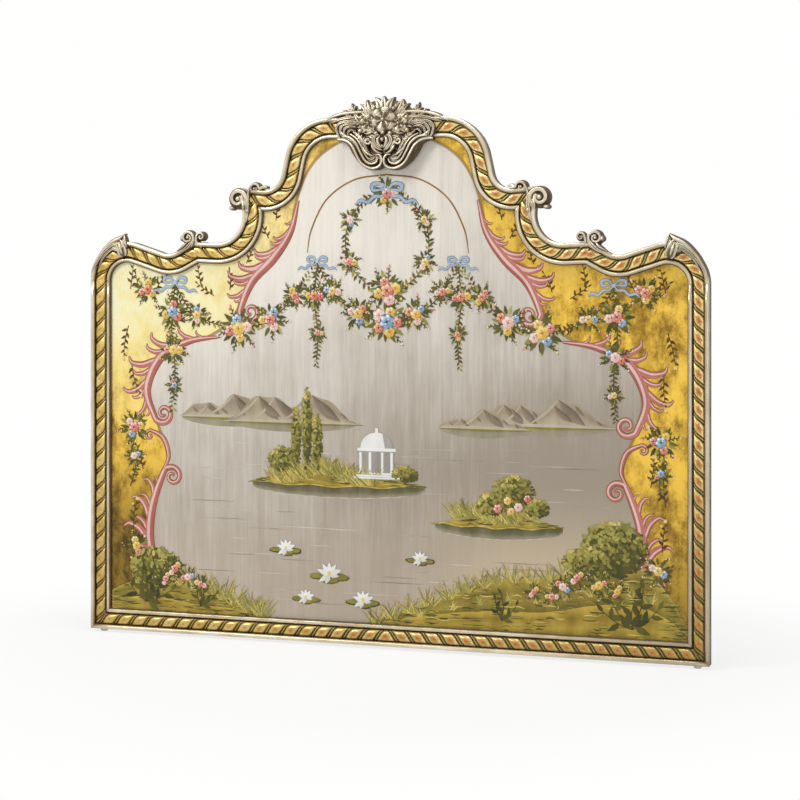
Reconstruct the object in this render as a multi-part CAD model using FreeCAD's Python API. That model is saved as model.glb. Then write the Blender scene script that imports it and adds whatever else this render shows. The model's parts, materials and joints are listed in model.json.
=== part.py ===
import FreeCAD, Part
import math
import os

from FreeCAD import Vector

# Wide arched wall mirror: a silvered and painted plate in a carved, silvered and gilded frame.
# Lengths are millimetres. X runs to the right as seen from the front, Z is up and the front faces -Y.
# Every section is drawn with u, the distance outwards from the sight edge, and with a height
# above the frame's back plane, towards the front.

# Whole frame
frame_width = 1800.0
moulding_width = 60.0
glide_height = 8.0
overrun = 2.0
touching = 0.001
arc_step_angle = 11.0

# Layers behind the moulding, from the wall side
board_thickness = 6.0
packing_thickness = 7.0
plate_thickness = 5.0
rabbet_lap = 8.0
plate_clearance = 1.0
board_clearance = 2.0

# Outer silver round on each rail
round_radius = 6.5
round_rise = 12.5
side_setback = 1.5
round_count = 4

# Inner silver bead
bead_radius = 6.5
bead_wall = 5.0
bead_quirk = 3.0
bead_count = 3

# Gilt hollow and the carved rope in it
hollow_lip_width = 4.0
hollow_lip_height = 9.0
hollow_floor = 3.0
rope_rise = 12.0
rope_count = 4
rope_pitch = 47.0
rope_groove_width = 7.0
rope_groove_depth = 8.0
rope_slant = 34.0

# Sight edge of the right half, walked from the bottom corner up to the middle of the crown
stile_height = 941.0
shoulder_radius = 52.0
shoulder_angle = 108.0
shoulder_straight = 85.0
dip_radius = 115.0
dip_angle = 46.0
dip_straight = 42.0
lower_cusp_angle = 30.3
haunch_straight = 55.0
haunch_radius = 137.5
haunch_angle = 96.8
upper_cusp_angle = 98.3
neck_radius = 113.0
neck_angle = 81.5
crown_straight = 53.0
crown_radius = 75.0

# Carved crest
crest_rise = 118.0
crest_drop = 88.0
crest_half_width = 100.0
crest_front = 66.0
crest_edge = 32.0
crest_field = 52.0
crest_seat_half = 132.0
crest_lobe_radius = 32.0
crest_lobe_front = 58.0
crest_leaf_width = 22.0
crest_leaf_back = 24.0
crest_leaf_edge = 48.0
crest_leaf_front = 57.0
crest_wing_front = 44.0
crest_flower_radius = 19.0
crest_flower_edge = 58.0
crest_small_flower_radius = 14.0
crest_small_flower_front = 62.0
crest_bud_radius = 10.0

# Scrolls on the two cusps and the leaf on each shoulder
upper_large_radius = 33.0
upper_small_radius = 20.0
lower_large_radius = 23.0
lower_small_radius = 15.0
scroll_back = 12.0
scroll_web = 32.0
scroll_front = 43.0
scroll_count = 10
scroll_turns = 1.25
outer_fall_share = 0.42
inner_start_share = 0.64
inner_fall_share = 0.22
web_share = 0.85
eye_share = 0.26
bridge_share = 1.4
leaf_ridge_share = 0.55
body_share = 0.74
boss_share = 0.5
stem_leaf_length = 66.0
stem_leaf_width = 24.0
stem_leaf_edge = 35.0
leaf_back = 20.0
leaf_front = 42.0
leaf_edge_proud = 1.5
leaf_proud = 7.0
leaf_tip_rise = 19.0
leaf_drop_radius = 13.0
leaf_count = 5

# Loose tongues in the joints
tongue_length = 30.0
tongue_width = 32.0
tongue_thickness = 3.0
tongue_height = 8.0
tongue_clearance = 0.2

# Glides under the bottom rail
glide_radius = 11.0
glide_foot_radius = 9.0
glide_foot_height = 2.5
glide_inset = 35.0
glide_centre_height = 13.0
glide_pin_radius = 1.25
glide_pin_length = 16.0
glide_count = 14
pin_count = 8

# Clips that hold the backing board
clip_length = 34.0
clip_width = 14.0
clip_thickness = 1.5
clip_reach = 8.0

# Strap hangers with D rings, on the back of the stiles
hanger_drop = 69.0
hanger_inset = 34.0
strap_width = 20.0
strap_length = 62.0
strap_thickness = 1.5
eye_wall = 1.5
eye_offset = 4.0
ring_radius = 16.0
ring_wire_radius = 2.0
ring_running_gap = 0.08
ring_count = 10

# Wall bumpers
bumper_radius = 9.0
bumper_thickness = 9.0
bumper_inset = 34.0
bumper_drop = 149.0

# Values that follow from the sizes above
half_width = frame_width / 2
sight_half = half_width - moulding_width
sight_bottom = glide_height + moulding_width
seat_height = board_thickness + packing_thickness + plate_thickness
outer_wall = moulding_width - side_setback
round_centre_u = moulding_width - round_radius
round_centre_height = seat_height + round_rise
round_inner_u = moulding_width - 2 * round_radius
lip_u = 2 * bead_radius + bead_quirk
rope_inner_u = lip_u + hollow_lip_width
rope_outer_u = round_inner_u
rope_centre_u = (rope_inner_u + rope_outer_u) / 2
rope_half = (rope_outer_u - rope_inner_u) / 2
rope_base = seat_height + hollow_floor
rope_top = rope_base + rope_rise
rope_radius = (rope_half ** 2 + rope_rise ** 2) / (2 * rope_rise)
depth_centre = (crest_front - bumper_thickness) / 2
crest_height = crest_rise + crest_drop
front = Vector(0, -1, 0)
middle = Vector(0, 0, 0)
sideways = Vector(1, 0, 0)
upwards = Vector(0, 0, 1)


# Points and directions
def flat(x, z):
    return Vector(x, 0, z)


def lifted(point, height):
    """A point of the frame's plane moved to a height above the back plane."""
    return point + Vector(0, depth_centre - height, 0)


def turned(angle):
    """Unit vector in the plane of the frame, at an angle in degrees from +X towards +Z."""
    return Vector(math.cos(math.radians(angle)), 0, math.sin(math.radians(angle)))


def bearing(v):
    return math.degrees(math.atan2(v.z, v.x))


def ring_points(centre, radius, count):
    return [centre + turned(360 * index / count) * radius for index in range(count)]


def arc_points(first, through, last, count):
    """Evenly spaced points of the arc through three points."""
    return Part.Arc(first, through, last).toShape().discretize(Number=count + 1)


def chords(centre_u, centre_height, radius, first, last, count):
    """Corners of a rounded stretch of a section, drawn with flats."""
    angles = [math.radians(first + (last - first) * index / count) for index in range(count + 1)]
    return [(centre_u + radius * math.cos(a), centre_height + radius * math.sin(a)) for a in angles]


# Solids
def joined(shapes):
    shapes = list(shapes)
    return shapes[0].multiFuse(shapes[1:]) if len(shapes) > 1 else shapes[0]


def largest(shape):
    """The main solid, without the crumbs that a carving's housing leaves at an edge."""
    return max(shape.Solids, key=lambda solid: solid.Volume)


def mirrored(shape):
    return shape.mirror(middle, sideways)


def polygon_face(points):
    return Part.Face(Part.makePolygon(points + points[:1]))


def skin(rings):
    """A solid with flat faces through rings of as many corners each."""
    faces = [polygon_face(rings[0]), polygon_face(rings[-1])]
    for ring, following in zip(rings, rings[1:]):
        for index in range(len(ring)):
            corners = [ring[index - 1], ring[index], following[index], following[index - 1]]
            corners = [p for i, p in enumerate(corners) if (p - corners[i - 1]).Length > touching]
            if len(corners) > 2:
                faces.append(polygon_face(corners))
    return Part.Solid(Part.Shell(faces))


def prism(points, low, high):
    """A slab with a polygon outline, between two heights above the back plane."""
    return polygon_face([lifted(p, low) for p in points]).extrude(front * (high - low))


def bevelled(points, centre, low, edge, high, share):
    """A carved slab: upright up to its edge, then drawn in to a share of its outline."""
    lower, upper = [[lifted(p, height) for p in points] for height in (low, edge)]
    return skin([lower, upper, [lifted(centre + (p - centre) * share, high) for p in points]])


def leaf_points(root, tip, width):
    """A leaf seen from the front: two arcs that meet in a point at each end."""
    along = tip - root
    across = Vector(-along.z, 0, along.x).normalize() * (width / 2)
    centre = (root + tip) / 2
    one_side = arc_points(root, centre + across, tip, leaf_count)
    other_side = arc_points(tip, centre - across, root, leaf_count)
    return one_side[:-1] + other_side[:-1]


# Stretches of the sight edge
class Straight:
    """A straight stretch of the sight edge, walked with the plate on its left."""

    def __init__(self, start, end):
        self.start = start
        self.length = (end - start).Length
        self.heading = (end - start).normalize()
        self.outward = Vector(self.heading.z, 0, -self.heading.x)
        self.pieces = 1

    def run(self, u):
        return self.length

    def station(self, share, u):
        return self.start + self.heading * (self.length * share) + self.outward * u, self.heading, self.outward


class Bend:
    """A round stretch. turn is +1 where it bends to the left and -1 where it bends to the right."""

    def __init__(self, start, heading, radius, angle, turn):
        self.centre = start + Vector(-heading.z, 0, heading.x) * (radius * turn)
        self.radius = radius
        self.first = bearing(start - self.centre)
        self.angle = angle * turn
        self.turn = turn
        self.pieces = math.ceil(angle / arc_step_angle)

    def run(self, u):
        return math.radians(abs(self.angle)) * (self.radius + self.turn * u)

    def station(self, share, u):
        spoke = turned(self.first + self.angle * share)
        heading = Vector(-spoke.z, 0, spoke.x) * self.turn
        return self.centre + spoke * (self.radius + self.turn * u), heading, spoke * self.turn


class Walk:
    """Draws the sight edge as runs of stretches, from a place and a bearing in degrees."""

    def __init__(self, place, angle):
        self.place = place
        self.angle = angle
        self.runs = [[]]

    def step(self, stretch):
        self.runs[-1].append(stretch)
        self.place = stretch.station(1, 0)[0]
        return self

    def straight(self, length):
        return self.step(Straight(self.place, self.place + turned(self.angle) * length))

    def bend(self, radius, angle, turn):
        heading = turned(self.angle)
        self.angle += angle * turn
        return self.step(Bend(self.place, heading, radius, angle, turn))

    def joint(self, angle=0):
        """Starts the next run, after a corner of an angle to the left."""
        self.angle += angle
        self.runs.append([])
        return self


walk = Walk(flat(0, sight_bottom), 0)
walk.straight(sight_half).joint(90).straight(stile_height).joint()
walk.bend(shoulder_radius, shoulder_angle, 1).straight(shoulder_straight)
walk.bend(dip_radius, dip_angle, -1).straight(dip_straight).joint(lower_cusp_angle)
walk.straight(haunch_straight).bend(haunch_radius, haunch_angle, -1).joint(upper_cusp_angle)
walk.bend(neck_radius, neck_angle, -1).straight(crown_straight)
walk.bend(crown_radius, 180 - walk.angle, 1).straight(walk.place.x)
bottom_run, stile_run, shoulder_run, haunch_run, crown_run = walk.runs
shoulder_centre = shoulder_run[0].centre
crown_top = walk.place.z
crest_top = crown_top + crest_rise
crest_bottom = crown_top - crest_drop


def start_of(run):
    return run[0].station(0, 0)


def end_of(run):
    return run[-1].station(1, 0)


def half_turn(run, following):
    """Half the turn between two runs, in degrees."""
    return (bearing(start_of(following)[1]) - bearing(end_of(run)[1])) % 360 / 2


def mitre(run, following):
    """Where two runs meet: the point, the mitre's direction outwards and the way past it."""
    point, _, outward = end_of(run)
    line = turned(bearing(outward) + half_turn(run, following))
    return point, line, Vector(-line.z, 0, line.x)


def mitre_length(run, following, width):
    return width / math.cos(math.radians(half_turn(run, following)))


def station_along(run, s, u):
    """A place along a whole run, with its heading and the way outwards."""
    for stretch in run[:-1]:
        if s <= stretch.run(u):
            return stretch.station(s / stretch.run(u), u)
        s -= stretch.run(u)
    return run[-1].station(s / run[-1].run(u), u)


def length_of(run, u):
    return sum(stretch.run(u) for stretch in run)


def guides(run, before, after):
    """Places along a run, each with the vector that one unit of u takes there."""
    found = [start_of(run)[::2]]
    for stretch in run:
        found += [stretch.station((index + 1) / stretch.pieces, 0)[::2] for index in range(stretch.pieces)]
    if before:
        point, line, _ = mitre(before, run)
        found.insert(0, (point, line * mitre_length(before, run, 1)))
    if after:
        point, line, _ = mitre(run, after)
        found.append((point, line * mitre_length(run, after, 1)))
    return found


# Mouldings
def member(run, corners, before=None, after=None):
    """One length of moulding of a section, mitred to its neighbours."""
    return skin([
        [lifted(point + across * u, height) for u, height in corners]
        for point, across in guides(run, before, after)
    ])


round_side_drop = math.sqrt(round_radius ** 2 - (round_radius - side_setback) ** 2)
rope_end = math.degrees(math.asin((rope_rise - rope_radius) / rope_radius))

rail_section = [
    (rabbet_lap, 0),
    (outer_wall, 0),
    (outer_wall, round_centre_height - round_side_drop),
    *chords(round_centre_u, round_centre_height, round_radius, 0, 180, round_count),
    (round_inner_u, seat_height),
    (2 * bead_radius, seat_height),
    *chords(bead_radius, seat_height + bead_wall, bead_radius, 0, 180, bead_count),
    (0, seat_height),
    (rabbet_lap, seat_height),
]
hollow_section = [
    (lip_u, seat_height),
    (rope_outer_u, seat_height),
    (rope_outer_u, rope_base),
    (rope_inner_u, rope_base),
    (rope_inner_u, seat_height + hollow_lip_height),
    (lip_u, seat_height + hollow_lip_height),
]
rope_section = chords(rope_centre_u, rope_top - rope_radius, rope_radius, -rope_end, 180 + rope_end, rope_count)


def groove(point, heading, outward, lay):
    """One slanting cut across the rope. lay is +1 where it runs forwards as it goes outwards."""
    slant = math.radians(rope_slant)
    along = outward * math.cos(slant) + heading * (lay * math.sin(slant))
    length = 2 * rope_half / math.cos(slant) + 2 * rope_groove_width
    top = lifted(point - along * (length / 2), rope_top + overrun)
    bottom = lifted(point - along * (length / 2), rope_top - rope_groove_depth)
    widening = (rope_groove_depth + overrun) / rope_groove_depth
    half = Vector(-along.z, 0, along.x) * (rope_groove_width / 2 * widening)
    return polygon_face([top - half, top + half, bottom]).extrude(along * length)


def gilt_strip(run, lay, before=None, after=None, bare=0):
    """The gilt hollow with its carved rope, whose last stretch may stay bare."""
    total = length_of(run, rope_centre_u) - bare
    count = max(1, round(total / rope_pitch))
    places = [total * (index + 1 / 2) / count for index in range(count)]
    grooves = [groove(*station_along(run, s, rope_centre_u), lay) for s in places]
    hollow = member(run, hollow_section, before, after)
    return hollow.fuse(member(run, rope_section, before, after).cut(grooves)).removeSplitter()


# Joints between the rails, each with a loose tongue
def tongue(run, following, grow):
    """A loose tongue across a joint, or its slot where it is grown by the clearance."""
    point, line, past = mitre(run, following)
    centre = point + line * (mitre_length(run, following, moulding_width) / 2)
    along = line * (tongue_width / 2 + grow)
    over = past * (tongue_length / 2 + grow)
    corners = [centre - along - over, centre + along - over, centre + along + over, centre - along + over]
    return prism(corners, tongue_height - grow, tongue_height + tongue_thickness + grow)


meetings = [
    (bottom_run, stile_run),
    (stile_run, shoulder_run),
    (shoulder_run, haunch_run),
    (haunch_run, crown_run),
]
tongues = [tongue(*pair, 0) for pair in meetings]
slots = [tongue(*pair, tongue_clearance) for pair in meetings]


# Scrolls on the cusps
def spiral(centre, radius, start, turn, share, fall, turns):
    """Points of a spiral that starts at a share of the radius and loses as much again each turn."""
    steps = round(turns * scroll_count)
    return [
        centre + turned(start + 360 * turn * index / scroll_count) * (radius * (share - fall * index / scroll_count))
        for index in range(steps + 1)
    ]


def volute(centre, radius, turn, low, web, high):
    """A rolled scroll end and the housing it needs. turn is -1 where it winds in clockwise."""
    start = 90 + 90 * -turn
    outer = spiral(centre, radius, start, turn, 1, outer_fall_share, scroll_turns)
    inner = spiral(centre, radius, start, turn, inner_start_share, inner_fall_share, scroll_turns)
    back = ring_points(centre, radius * web_share, scroll_count)
    eye = ring_points(centre, radius * eye_share, scroll_count)
    shape = joined([prism(outer + inner[::-1], low, high), prism(back, low, web), prism(eye, low, high)])
    housing = prism(outer[:scroll_count + 1], low, high).fuse(prism(back, low, high))
    return shape, housing


def scroll_pair(large_centre, large_radius, small_centre, small_radius):
    large, large_housing = volute(large_centre, large_radius, -1, scroll_back, scroll_web, scroll_front)
    small, small_housing = volute(small_centre, small_radius, 1, scroll_back, scroll_web, scroll_front)
    between = [
        small_centre, large_centre,
        large_centre - upwards * large_radius, small_centre - upwards * (bridge_share * small_radius),
    ]
    bridge, bridge_housing = [prism(between, scroll_back, high) for high in (scroll_web, scroll_front)]
    return joined([large, small, bridge]), joined([large_housing, small_housing, bridge_housing])


upper_point, upper_line, _ = mitre(haunch_run, crown_run)
upper_corner = upper_point + upper_line * mitre_length(haunch_run, crown_run, moulding_width)
upper_large = upper_corner + flat(0.2, -0.88) * upper_large_radius
upper_small = upper_corner + flat(-2.2, -0.05) * upper_small_radius
stem_root = upper_large + flat(-0.92, 0.1) * upper_large_radius
stem_tip = stem_root + turned(-86) * stem_leaf_length
stem_leaf = bevelled(
    leaf_points(stem_root, stem_tip, stem_leaf_width), (stem_root + stem_tip) / 2,
    rope_base, stem_leaf_edge, scroll_front, leaf_ridge_share)
upper_scroll, upper_housing = scroll_pair(upper_large, upper_large_radius, upper_small, upper_small_radius)
upper_scroll = upper_scroll.fuse(stem_leaf)

lower_point, lower_line, _ = mitre(shoulder_run, haunch_run)
lower_corner = lower_point + lower_line * mitre_length(shoulder_run, haunch_run, moulding_width)
lower_large = lower_corner + flat(0.65, 0.52) * lower_large_radius
lower_small = lower_corner + flat(-1.67, 1.0) * lower_small_radius
lower_scroll, lower_housing = scroll_pair(lower_large, lower_large_radius, lower_small, lower_small_radius)

# Leaf that wraps the outer round on each shoulder and drops across the hollow
outer_radius = shoulder_radius + moulding_width
drop_centre = shoulder_centre + upwards * (shoulder_radius + lip_u + leaf_drop_radius)
leaf_outer = arc_points(
    shoulder_centre + turned(12) * (outer_radius + leaf_edge_proud),
    shoulder_centre + turned(52) * (outer_radius + leaf_proud),
    shoulder_centre + turned(88) * (outer_radius + leaf_tip_rise), leaf_count)
leaf_drop = arc_points(
    drop_centre - sideways * leaf_drop_radius,
    drop_centre - upwards * leaf_drop_radius,
    drop_centre + sideways * leaf_drop_radius, leaf_count)
leaf_inner = arc_points(
    shoulder_centre + turned(66) * (shoulder_radius + rope_outer_u),
    shoulder_centre + turned(38) * (shoulder_radius + rope_outer_u),
    shoulder_centre + turned(16) * (shoulder_radius + round_inner_u), leaf_count)
leaf_neck = shoulder_centre + turned(92) * outer_radius
shoulder_leaf = prism([*leaf_outer, leaf_neck, *leaf_drop, *leaf_inner], leaf_back, leaf_front)


# Crest, in shares of its half width and of its height
def crest_point(x_share, z_share):
    return flat(x_share * crest_half_width, crest_bottom + z_share * crest_height)


def crest_polygon(shares):
    """A closed outline from the shares of its right half, from the bottom to the top."""
    right = [crest_point(x, z) for x, z in shares]
    left = [crest_point(-x, z) for x, z in reversed(shares) if x > 0]
    return right + left


body_shares = [(0, 0.15), (0.55, 0.10), (0.80, 0.21), (0.95, 0.33), (1.0, 0.50),
               (0.97, 0.70), (0.84, 0.83), (0.52, 0.91), (0, 0.93)]
wing_shares = [(0.90, 0.37), (1.28, 0.40), (1.43, 0.43), (1.41, 0.53), (1.56, 0.60), (1.82, 0.655),
               (1.70, 0.69), (1.48, 0.73), (1.22, 0.767), (1.10, 0.83), (0.98, 0.89), (0.80, 0.80)]
lip_shares = [(0.50, 0.05), (0.66, 0.10), (0.82, 0.19), (1.02, 0.34), (1.28, 0.40),
              (1.00, 0.42), (0.74, 0.28), (0.50, 0.20)]
fan_shares = [(-37, 0.50), (-19, 0.445), (0, 0.452), (19, 0.445), (37, 0.50)]
fan_root_share = 0.12
crest_centre = crest_point(0, 0.548)
lobe_centre = crest_point(0.33, 0) + upwards * crest_lobe_radius

right_lobe, lobe_housing = volute(
    lobe_centre, crest_lobe_radius, 1, seat_height, crest_edge, crest_lobe_front)
lobe_lip = prism([crest_point(x, z) for x, z in lip_shares], seat_height, crest_field)
right_side = prism(
    [crest_point(0, -1), crest_point(2, -1), crest_point(2, 2), crest_point(0, 2)],
    0, crest_front)
right_lobe = right_lobe.fuse(lobe_lip).common(right_side)
lobe_housing = lobe_housing.fuse(lobe_lip).common(right_side)
crest_body = bevelled(
    crest_polygon(body_shares), crest_centre, seat_height, crest_edge, crest_field, body_share)
crest_body = crest_body.cut([lobe_housing, mirrored(lobe_housing)])
fan = joined(
    bevelled(
        leaf_points(
            crest_centre + turned(90 - angle) * (fan_root_share * crest_height),
            crest_centre + turned(90 - angle) * (reach * crest_height), crest_leaf_width),
        crest_centre + turned(90 - angle) * ((fan_root_share + reach) / 2 * crest_height),
        crest_leaf_back, crest_leaf_edge, crest_leaf_front, leaf_ridge_share)
    for angle, reach in fan_shares).cut(crest_body)
wing = prism([crest_point(x, z) for x, z in wing_shares], seat_height, crest_wing_front)
right_wing = wing.cut([crest_body, lobe_housing, fan])


def boss(centre, radius, edge, high):
    """A flower head or bud on the crest's field."""
    return bevelled(ring_points(centre, radius, scroll_count), centre, crest_field, edge, high, boss_share)


crest_flowers = Part.makeCompound([
    boss(crest_centre, crest_flower_radius, crest_flower_edge, crest_front),
    boss(crest_point(0.37, 0.41), crest_small_flower_radius, crest_flower_edge, crest_small_flower_front),
    boss(crest_point(-0.37, 0.41), crest_small_flower_radius, crest_flower_edge, crest_small_flower_front),
    boss(crest_point(0, 0.36), crest_bud_radius, crest_flower_edge, crest_small_flower_front),
])
crest_seat = prism(
    [flat(-crest_seat_half, sight_bottom), flat(crest_seat_half, sight_bottom),
     flat(crest_seat_half, crest_top), flat(-crest_seat_half, crest_top)],
    seat_height, crest_front + overrun)

# Right half of the frame
housings = [upper_housing, lower_housing, shoulder_leaf, stem_leaf, wing]
half_bottom = member(bottom_run, rail_section, None, stile_run)
half_crown = member(crown_run, rail_section, haunch_run, None).cut([crest_seat, *housings])
rails = {
    "stile": member(stile_run, rail_section, bottom_run, None),
    "shoulder_rail": member(shoulder_run, rail_section, None, haunch_run),
    "haunch_rail": member(haunch_run, rail_section, shoulder_run, crown_run),
}
rails = {name: largest(shape.cut(housings + slots)) for name, shape in rails.items()}
strips = {
    "bottom_rope": gilt_strip(bottom_run, 1, None, stile_run),
    "stile_rope": gilt_strip(stile_run, -1, bottom_run, None),
    "shoulder_rope": gilt_strip(shoulder_run, -1, None, haunch_run).cut(housings),
    "haunch_rope": gilt_strip(haunch_run, -1, shoulder_run, crown_run).cut(housings),
    "crown_rope": gilt_strip(crown_run, -1, haunch_run, None, crest_seat_half).cut([crest_seat, *housings]),
}


# Plate and the layers behind it
runs = [bottom_run, stile_run, shoulder_run, haunch_run, crown_run]


def sheet(offset, low, high):
    """A sheet that follows the sight edge, a given distance outside it."""
    places = []
    for before, run, after in zip([None, *runs], runs, [*runs[1:], None]):
        mitred = after and half_turn(run, after) > arc_step_angle
        found = guides(run, None, after if mitred else None)
        places += [point + across * offset for point, across in (found[:-2] + found[-1:] if mitred else found)]
    right = [p for i, p in enumerate(places) if (p - places[i - 1]).Length > touching]
    left = [flat(-p.x, p.z) for p in reversed(right) if p.x > touching]
    return prism(right + left, low, high)


packing_top = board_thickness + packing_thickness
plate_edge = rabbet_lap - plate_clearance
plate = sheet(plate_edge, packing_top, seat_height)
packing = sheet(plate_edge, board_thickness, packing_top)
board = sheet(rabbet_lap - board_clearance, 0, board_thickness)


# Clips round the backing board
def clip(run, share):
    """A flat clip from the board's edge to the rail, at a share of the run's length."""
    point, heading, outward = station_along(run, share * length_of(run, 0), 0)
    inner = point - outward * clip_reach
    outer = inner + outward * clip_length
    half = heading * (clip_width / 2)
    return prism([inner - half, outer - half, outer + half, inner + half], -clip_thickness, 0)


clip_shares = [(bottom_run, 0.25), (bottom_run, 0.8), (stile_run, 0.12), (stile_run, 0.5),
               (shoulder_run, 0.6), (haunch_run, 0.5), (crown_run, 0.45)]
right_clips = [clip(run, share) for run, share in clip_shares]

# Hangers
stile_top = sight_bottom + stile_height
hanger = flat(sight_half + hanger_inset, stile_top - hanger_drop)
eye_radius = ring_wire_radius + ring_running_gap
eye_centre = lifted(hanger, -eye_offset)
half_strap = sideways * (strap_width / 2)
strap_foot = hanger - upwards * strap_length
strap = prism(
    [hanger - half_strap, hanger + half_strap, strap_foot + half_strap, strap_foot - half_strap],
    -strap_thickness, 0)


def wire_ring(centre, across, radius):
    """Corners round a wire or its bore: across is the way from the middle to the first corner."""
    return [
        centre + across * (radius * p.x) + front * (radius * p.z)
        for p in ring_points(middle, 1, ring_count)
    ]


def cross_tube(radius, half_length):
    """A round bar along the hanger's eye, drawn with flats."""
    return skin([wire_ring(eye_centre + sideways * x, upwards, radius) for x in (half_length, -half_length)])


bore_radius = eye_radius / math.cos(math.pi / ring_count)
eye = cross_tube(eye_radius + eye_wall, strap_width / 2)
right_hanger = strap.fuse(eye).cut(cross_tube(bore_radius, strap_width / 2 + overrun))


def ring_spoke(index):
    return turned(-180 * index / ring_count)


bow = skin([
    wire_ring(eye_centre + ring_spoke(i) * ring_radius, ring_spoke(i), ring_wire_radius)
    for i in range(ring_count + 1)
])
right_ring = bow.fuse(cross_tube(ring_wire_radius, ring_radius))

# Glides and bumpers
glide_place = Vector(half_width - glide_inset, depth_centre - glide_centre_height, 0)
rail_underside = glide_height + side_setback


def glide_ring(radius, height, flats):
    return [glide_place + Vector(p.x, p.z, height) for p in ring_points(middle, radius, flats)]


glide_disc = skin([
    glide_ring(glide_foot_radius, 0, glide_count),
    glide_ring(glide_radius, glide_foot_height, glide_count),
    glide_ring(glide_radius, rail_underside, glide_count),
])
glide_pin = skin([
    glide_ring(glide_pin_radius, height, pin_count)
    for height in (glide_foot_height, rail_underside + glide_pin_length)
])
right_glide = glide_disc.fuse(glide_pin)
bumper_places = [
    flat(half_width - bumper_inset, glide_height + bumper_inset),
    flat(half_width - bumper_inset, stile_top - bumper_drop),
]
right_bumpers = [
    prism(ring_points(point, bumper_radius, glide_count), -bumper_thickness, 0) for point in bumper_places
]


# The parts
def both_sides(pieces):
    return Part.makeCompound(pieces + [mirrored(piece) for piece in pieces])


def whole(half):
    """A member that runs across the middle, from its right half."""
    return half.fuse(mirrored(half)).removeSplitter()


parts = {
    "bottom_rail": whole(half_bottom.cut([*slots, glide_pin])),
    "crown_rail": whole(half_crown.cut(slots)),
    "plate": plate,
    "plate_packing": packing,
    "backing_board": board,
    "crest_body": crest_body,
    "crest_leaves": fan,
    "crest_flowers": crest_flowers,
    "joint_tongues": both_sides(tongues),
    "board_clips": both_sides(right_clips),
    "wall_bumpers": both_sides(right_bumpers),
}
right_hand = {
    **rails,
    **strips,
    "upper_scroll": upper_scroll,
    "lower_scroll": lower_scroll,
    "shoulder_leaf": shoulder_leaf,
    "crest_lobe": right_lobe,
    "crest_wing": right_wing,
    "hanger": right_hanger,
    "hanger_ring": right_ring,
    "glide": right_glide,
}
for name, shape in right_hand.items():
    parts["right_" + name] = shape
    parts["left_" + name] = mirrored(shape)

os.makedirs("parts", exist_ok=True)
for name, shape in parts.items():
    print(name, len(shape.Solids), round(shape.Volume), shape.isValid())
    shape.exportStep("parts/" + name + ".step")
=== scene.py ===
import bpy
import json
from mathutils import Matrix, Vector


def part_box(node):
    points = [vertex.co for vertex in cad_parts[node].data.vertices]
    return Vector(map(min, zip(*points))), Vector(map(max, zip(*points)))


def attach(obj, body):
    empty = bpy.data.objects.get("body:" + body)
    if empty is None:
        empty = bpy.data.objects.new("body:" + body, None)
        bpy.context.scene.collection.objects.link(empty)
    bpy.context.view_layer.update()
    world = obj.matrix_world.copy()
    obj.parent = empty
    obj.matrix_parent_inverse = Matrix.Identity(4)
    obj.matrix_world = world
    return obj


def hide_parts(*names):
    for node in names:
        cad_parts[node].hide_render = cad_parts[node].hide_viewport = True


bl_info = {
    "name": "Arched Wall Mirror",
    "version": (1, 0, 0),
    "blender": (4, 5, 0),
    "location": "View3D > Sidebar > Mirror",
    "description": "Dresses an arched wall mirror: a carved silver and gilt frame, and a painted plate",
    "category": "Object",
}

import cmath
import json
import math
import random

import bmesh
import bpy
import numpy as np
from mathutils import Vector

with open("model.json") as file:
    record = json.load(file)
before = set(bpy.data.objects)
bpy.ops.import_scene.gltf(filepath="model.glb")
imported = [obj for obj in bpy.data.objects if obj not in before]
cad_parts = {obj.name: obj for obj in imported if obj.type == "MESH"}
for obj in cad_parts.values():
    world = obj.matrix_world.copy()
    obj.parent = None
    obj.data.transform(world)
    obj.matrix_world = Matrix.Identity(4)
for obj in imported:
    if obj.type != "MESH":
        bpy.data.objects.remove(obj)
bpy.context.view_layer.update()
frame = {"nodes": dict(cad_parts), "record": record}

# Lengths are millimetres in the frame's own plane: x to the right, z up, and a height above the
# back plane towards the front. A place in that plane is the complex number x + z * 1j.
MM = 0.001
BACK_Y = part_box("bottom_rail")[1].y

# Sight edge of the right half, as in the frame's source
sight_half = 840.0
sight_bottom = 68.0
stile_height = 941.0
shoulder_radius, shoulder_angle, shoulder_straight = 52.0, 108.0, 85.0
dip_radius, dip_angle, dip_straight = 115.0, 46.0, 42.0
lower_cusp_angle = 30.3
haunch_straight, haunch_radius, haunch_angle = 55.0, 137.5, 96.8
upper_cusp_angle = 98.3
neck_radius, neck_angle = 113.0, 81.5
crown_straight, crown_radius = 53.0, 75.0

# Section
moulding_width = 60.0
seat_height = 18.0
rabbet_lap = 8.0
round_radius = 6.5
round_rise = 12.5
side_setback = 1.5
bead_radius = 6.5
bead_wall = 5.0
lip_u = 16.0
hollow_floor = 3.0
rope_inner_u = 20.0
rope_outer_u = 47.0
rope_centre_u = (rope_inner_u + rope_outer_u) / 2
rope_base = seat_height + hollow_floor
crest_seat_half = 132.0
plate_thickness = 5.0
plate_edge = 7.0

# Stations of the coarse and the fine runs: greatest length between two, and greatest angle
COARSE = (60.0, 2.5)
FINE = (1.9, 0.9)

# Screws of the back: a head sinks 0.02 into a clip, which is 1.5 thick
screw_radius = 3.4
screw_height = 1.9
screw_seat = 0.02 - 1.5
clip_length = 34.0

SIDES = (("right", False), ("left", True))


def spoke(degrees):
    return cmath.exp(1j * math.radians(degrees))


def unit(ways):
    return ways / np.maximum(np.abs(ways), 1e-9)


def at_height(flat, heights):
    """Points x, z and height of places in the plane."""
    return np.stack([flat.real, flat.imag, np.broadcast_to(heights, flat.shape)], axis=-1)


def flat_rows(rows):
    """Rows that begin with a place, with its x and z instead."""
    return [(row[0].real, row[0].imag, *row[1:]) for row in rows]


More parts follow.
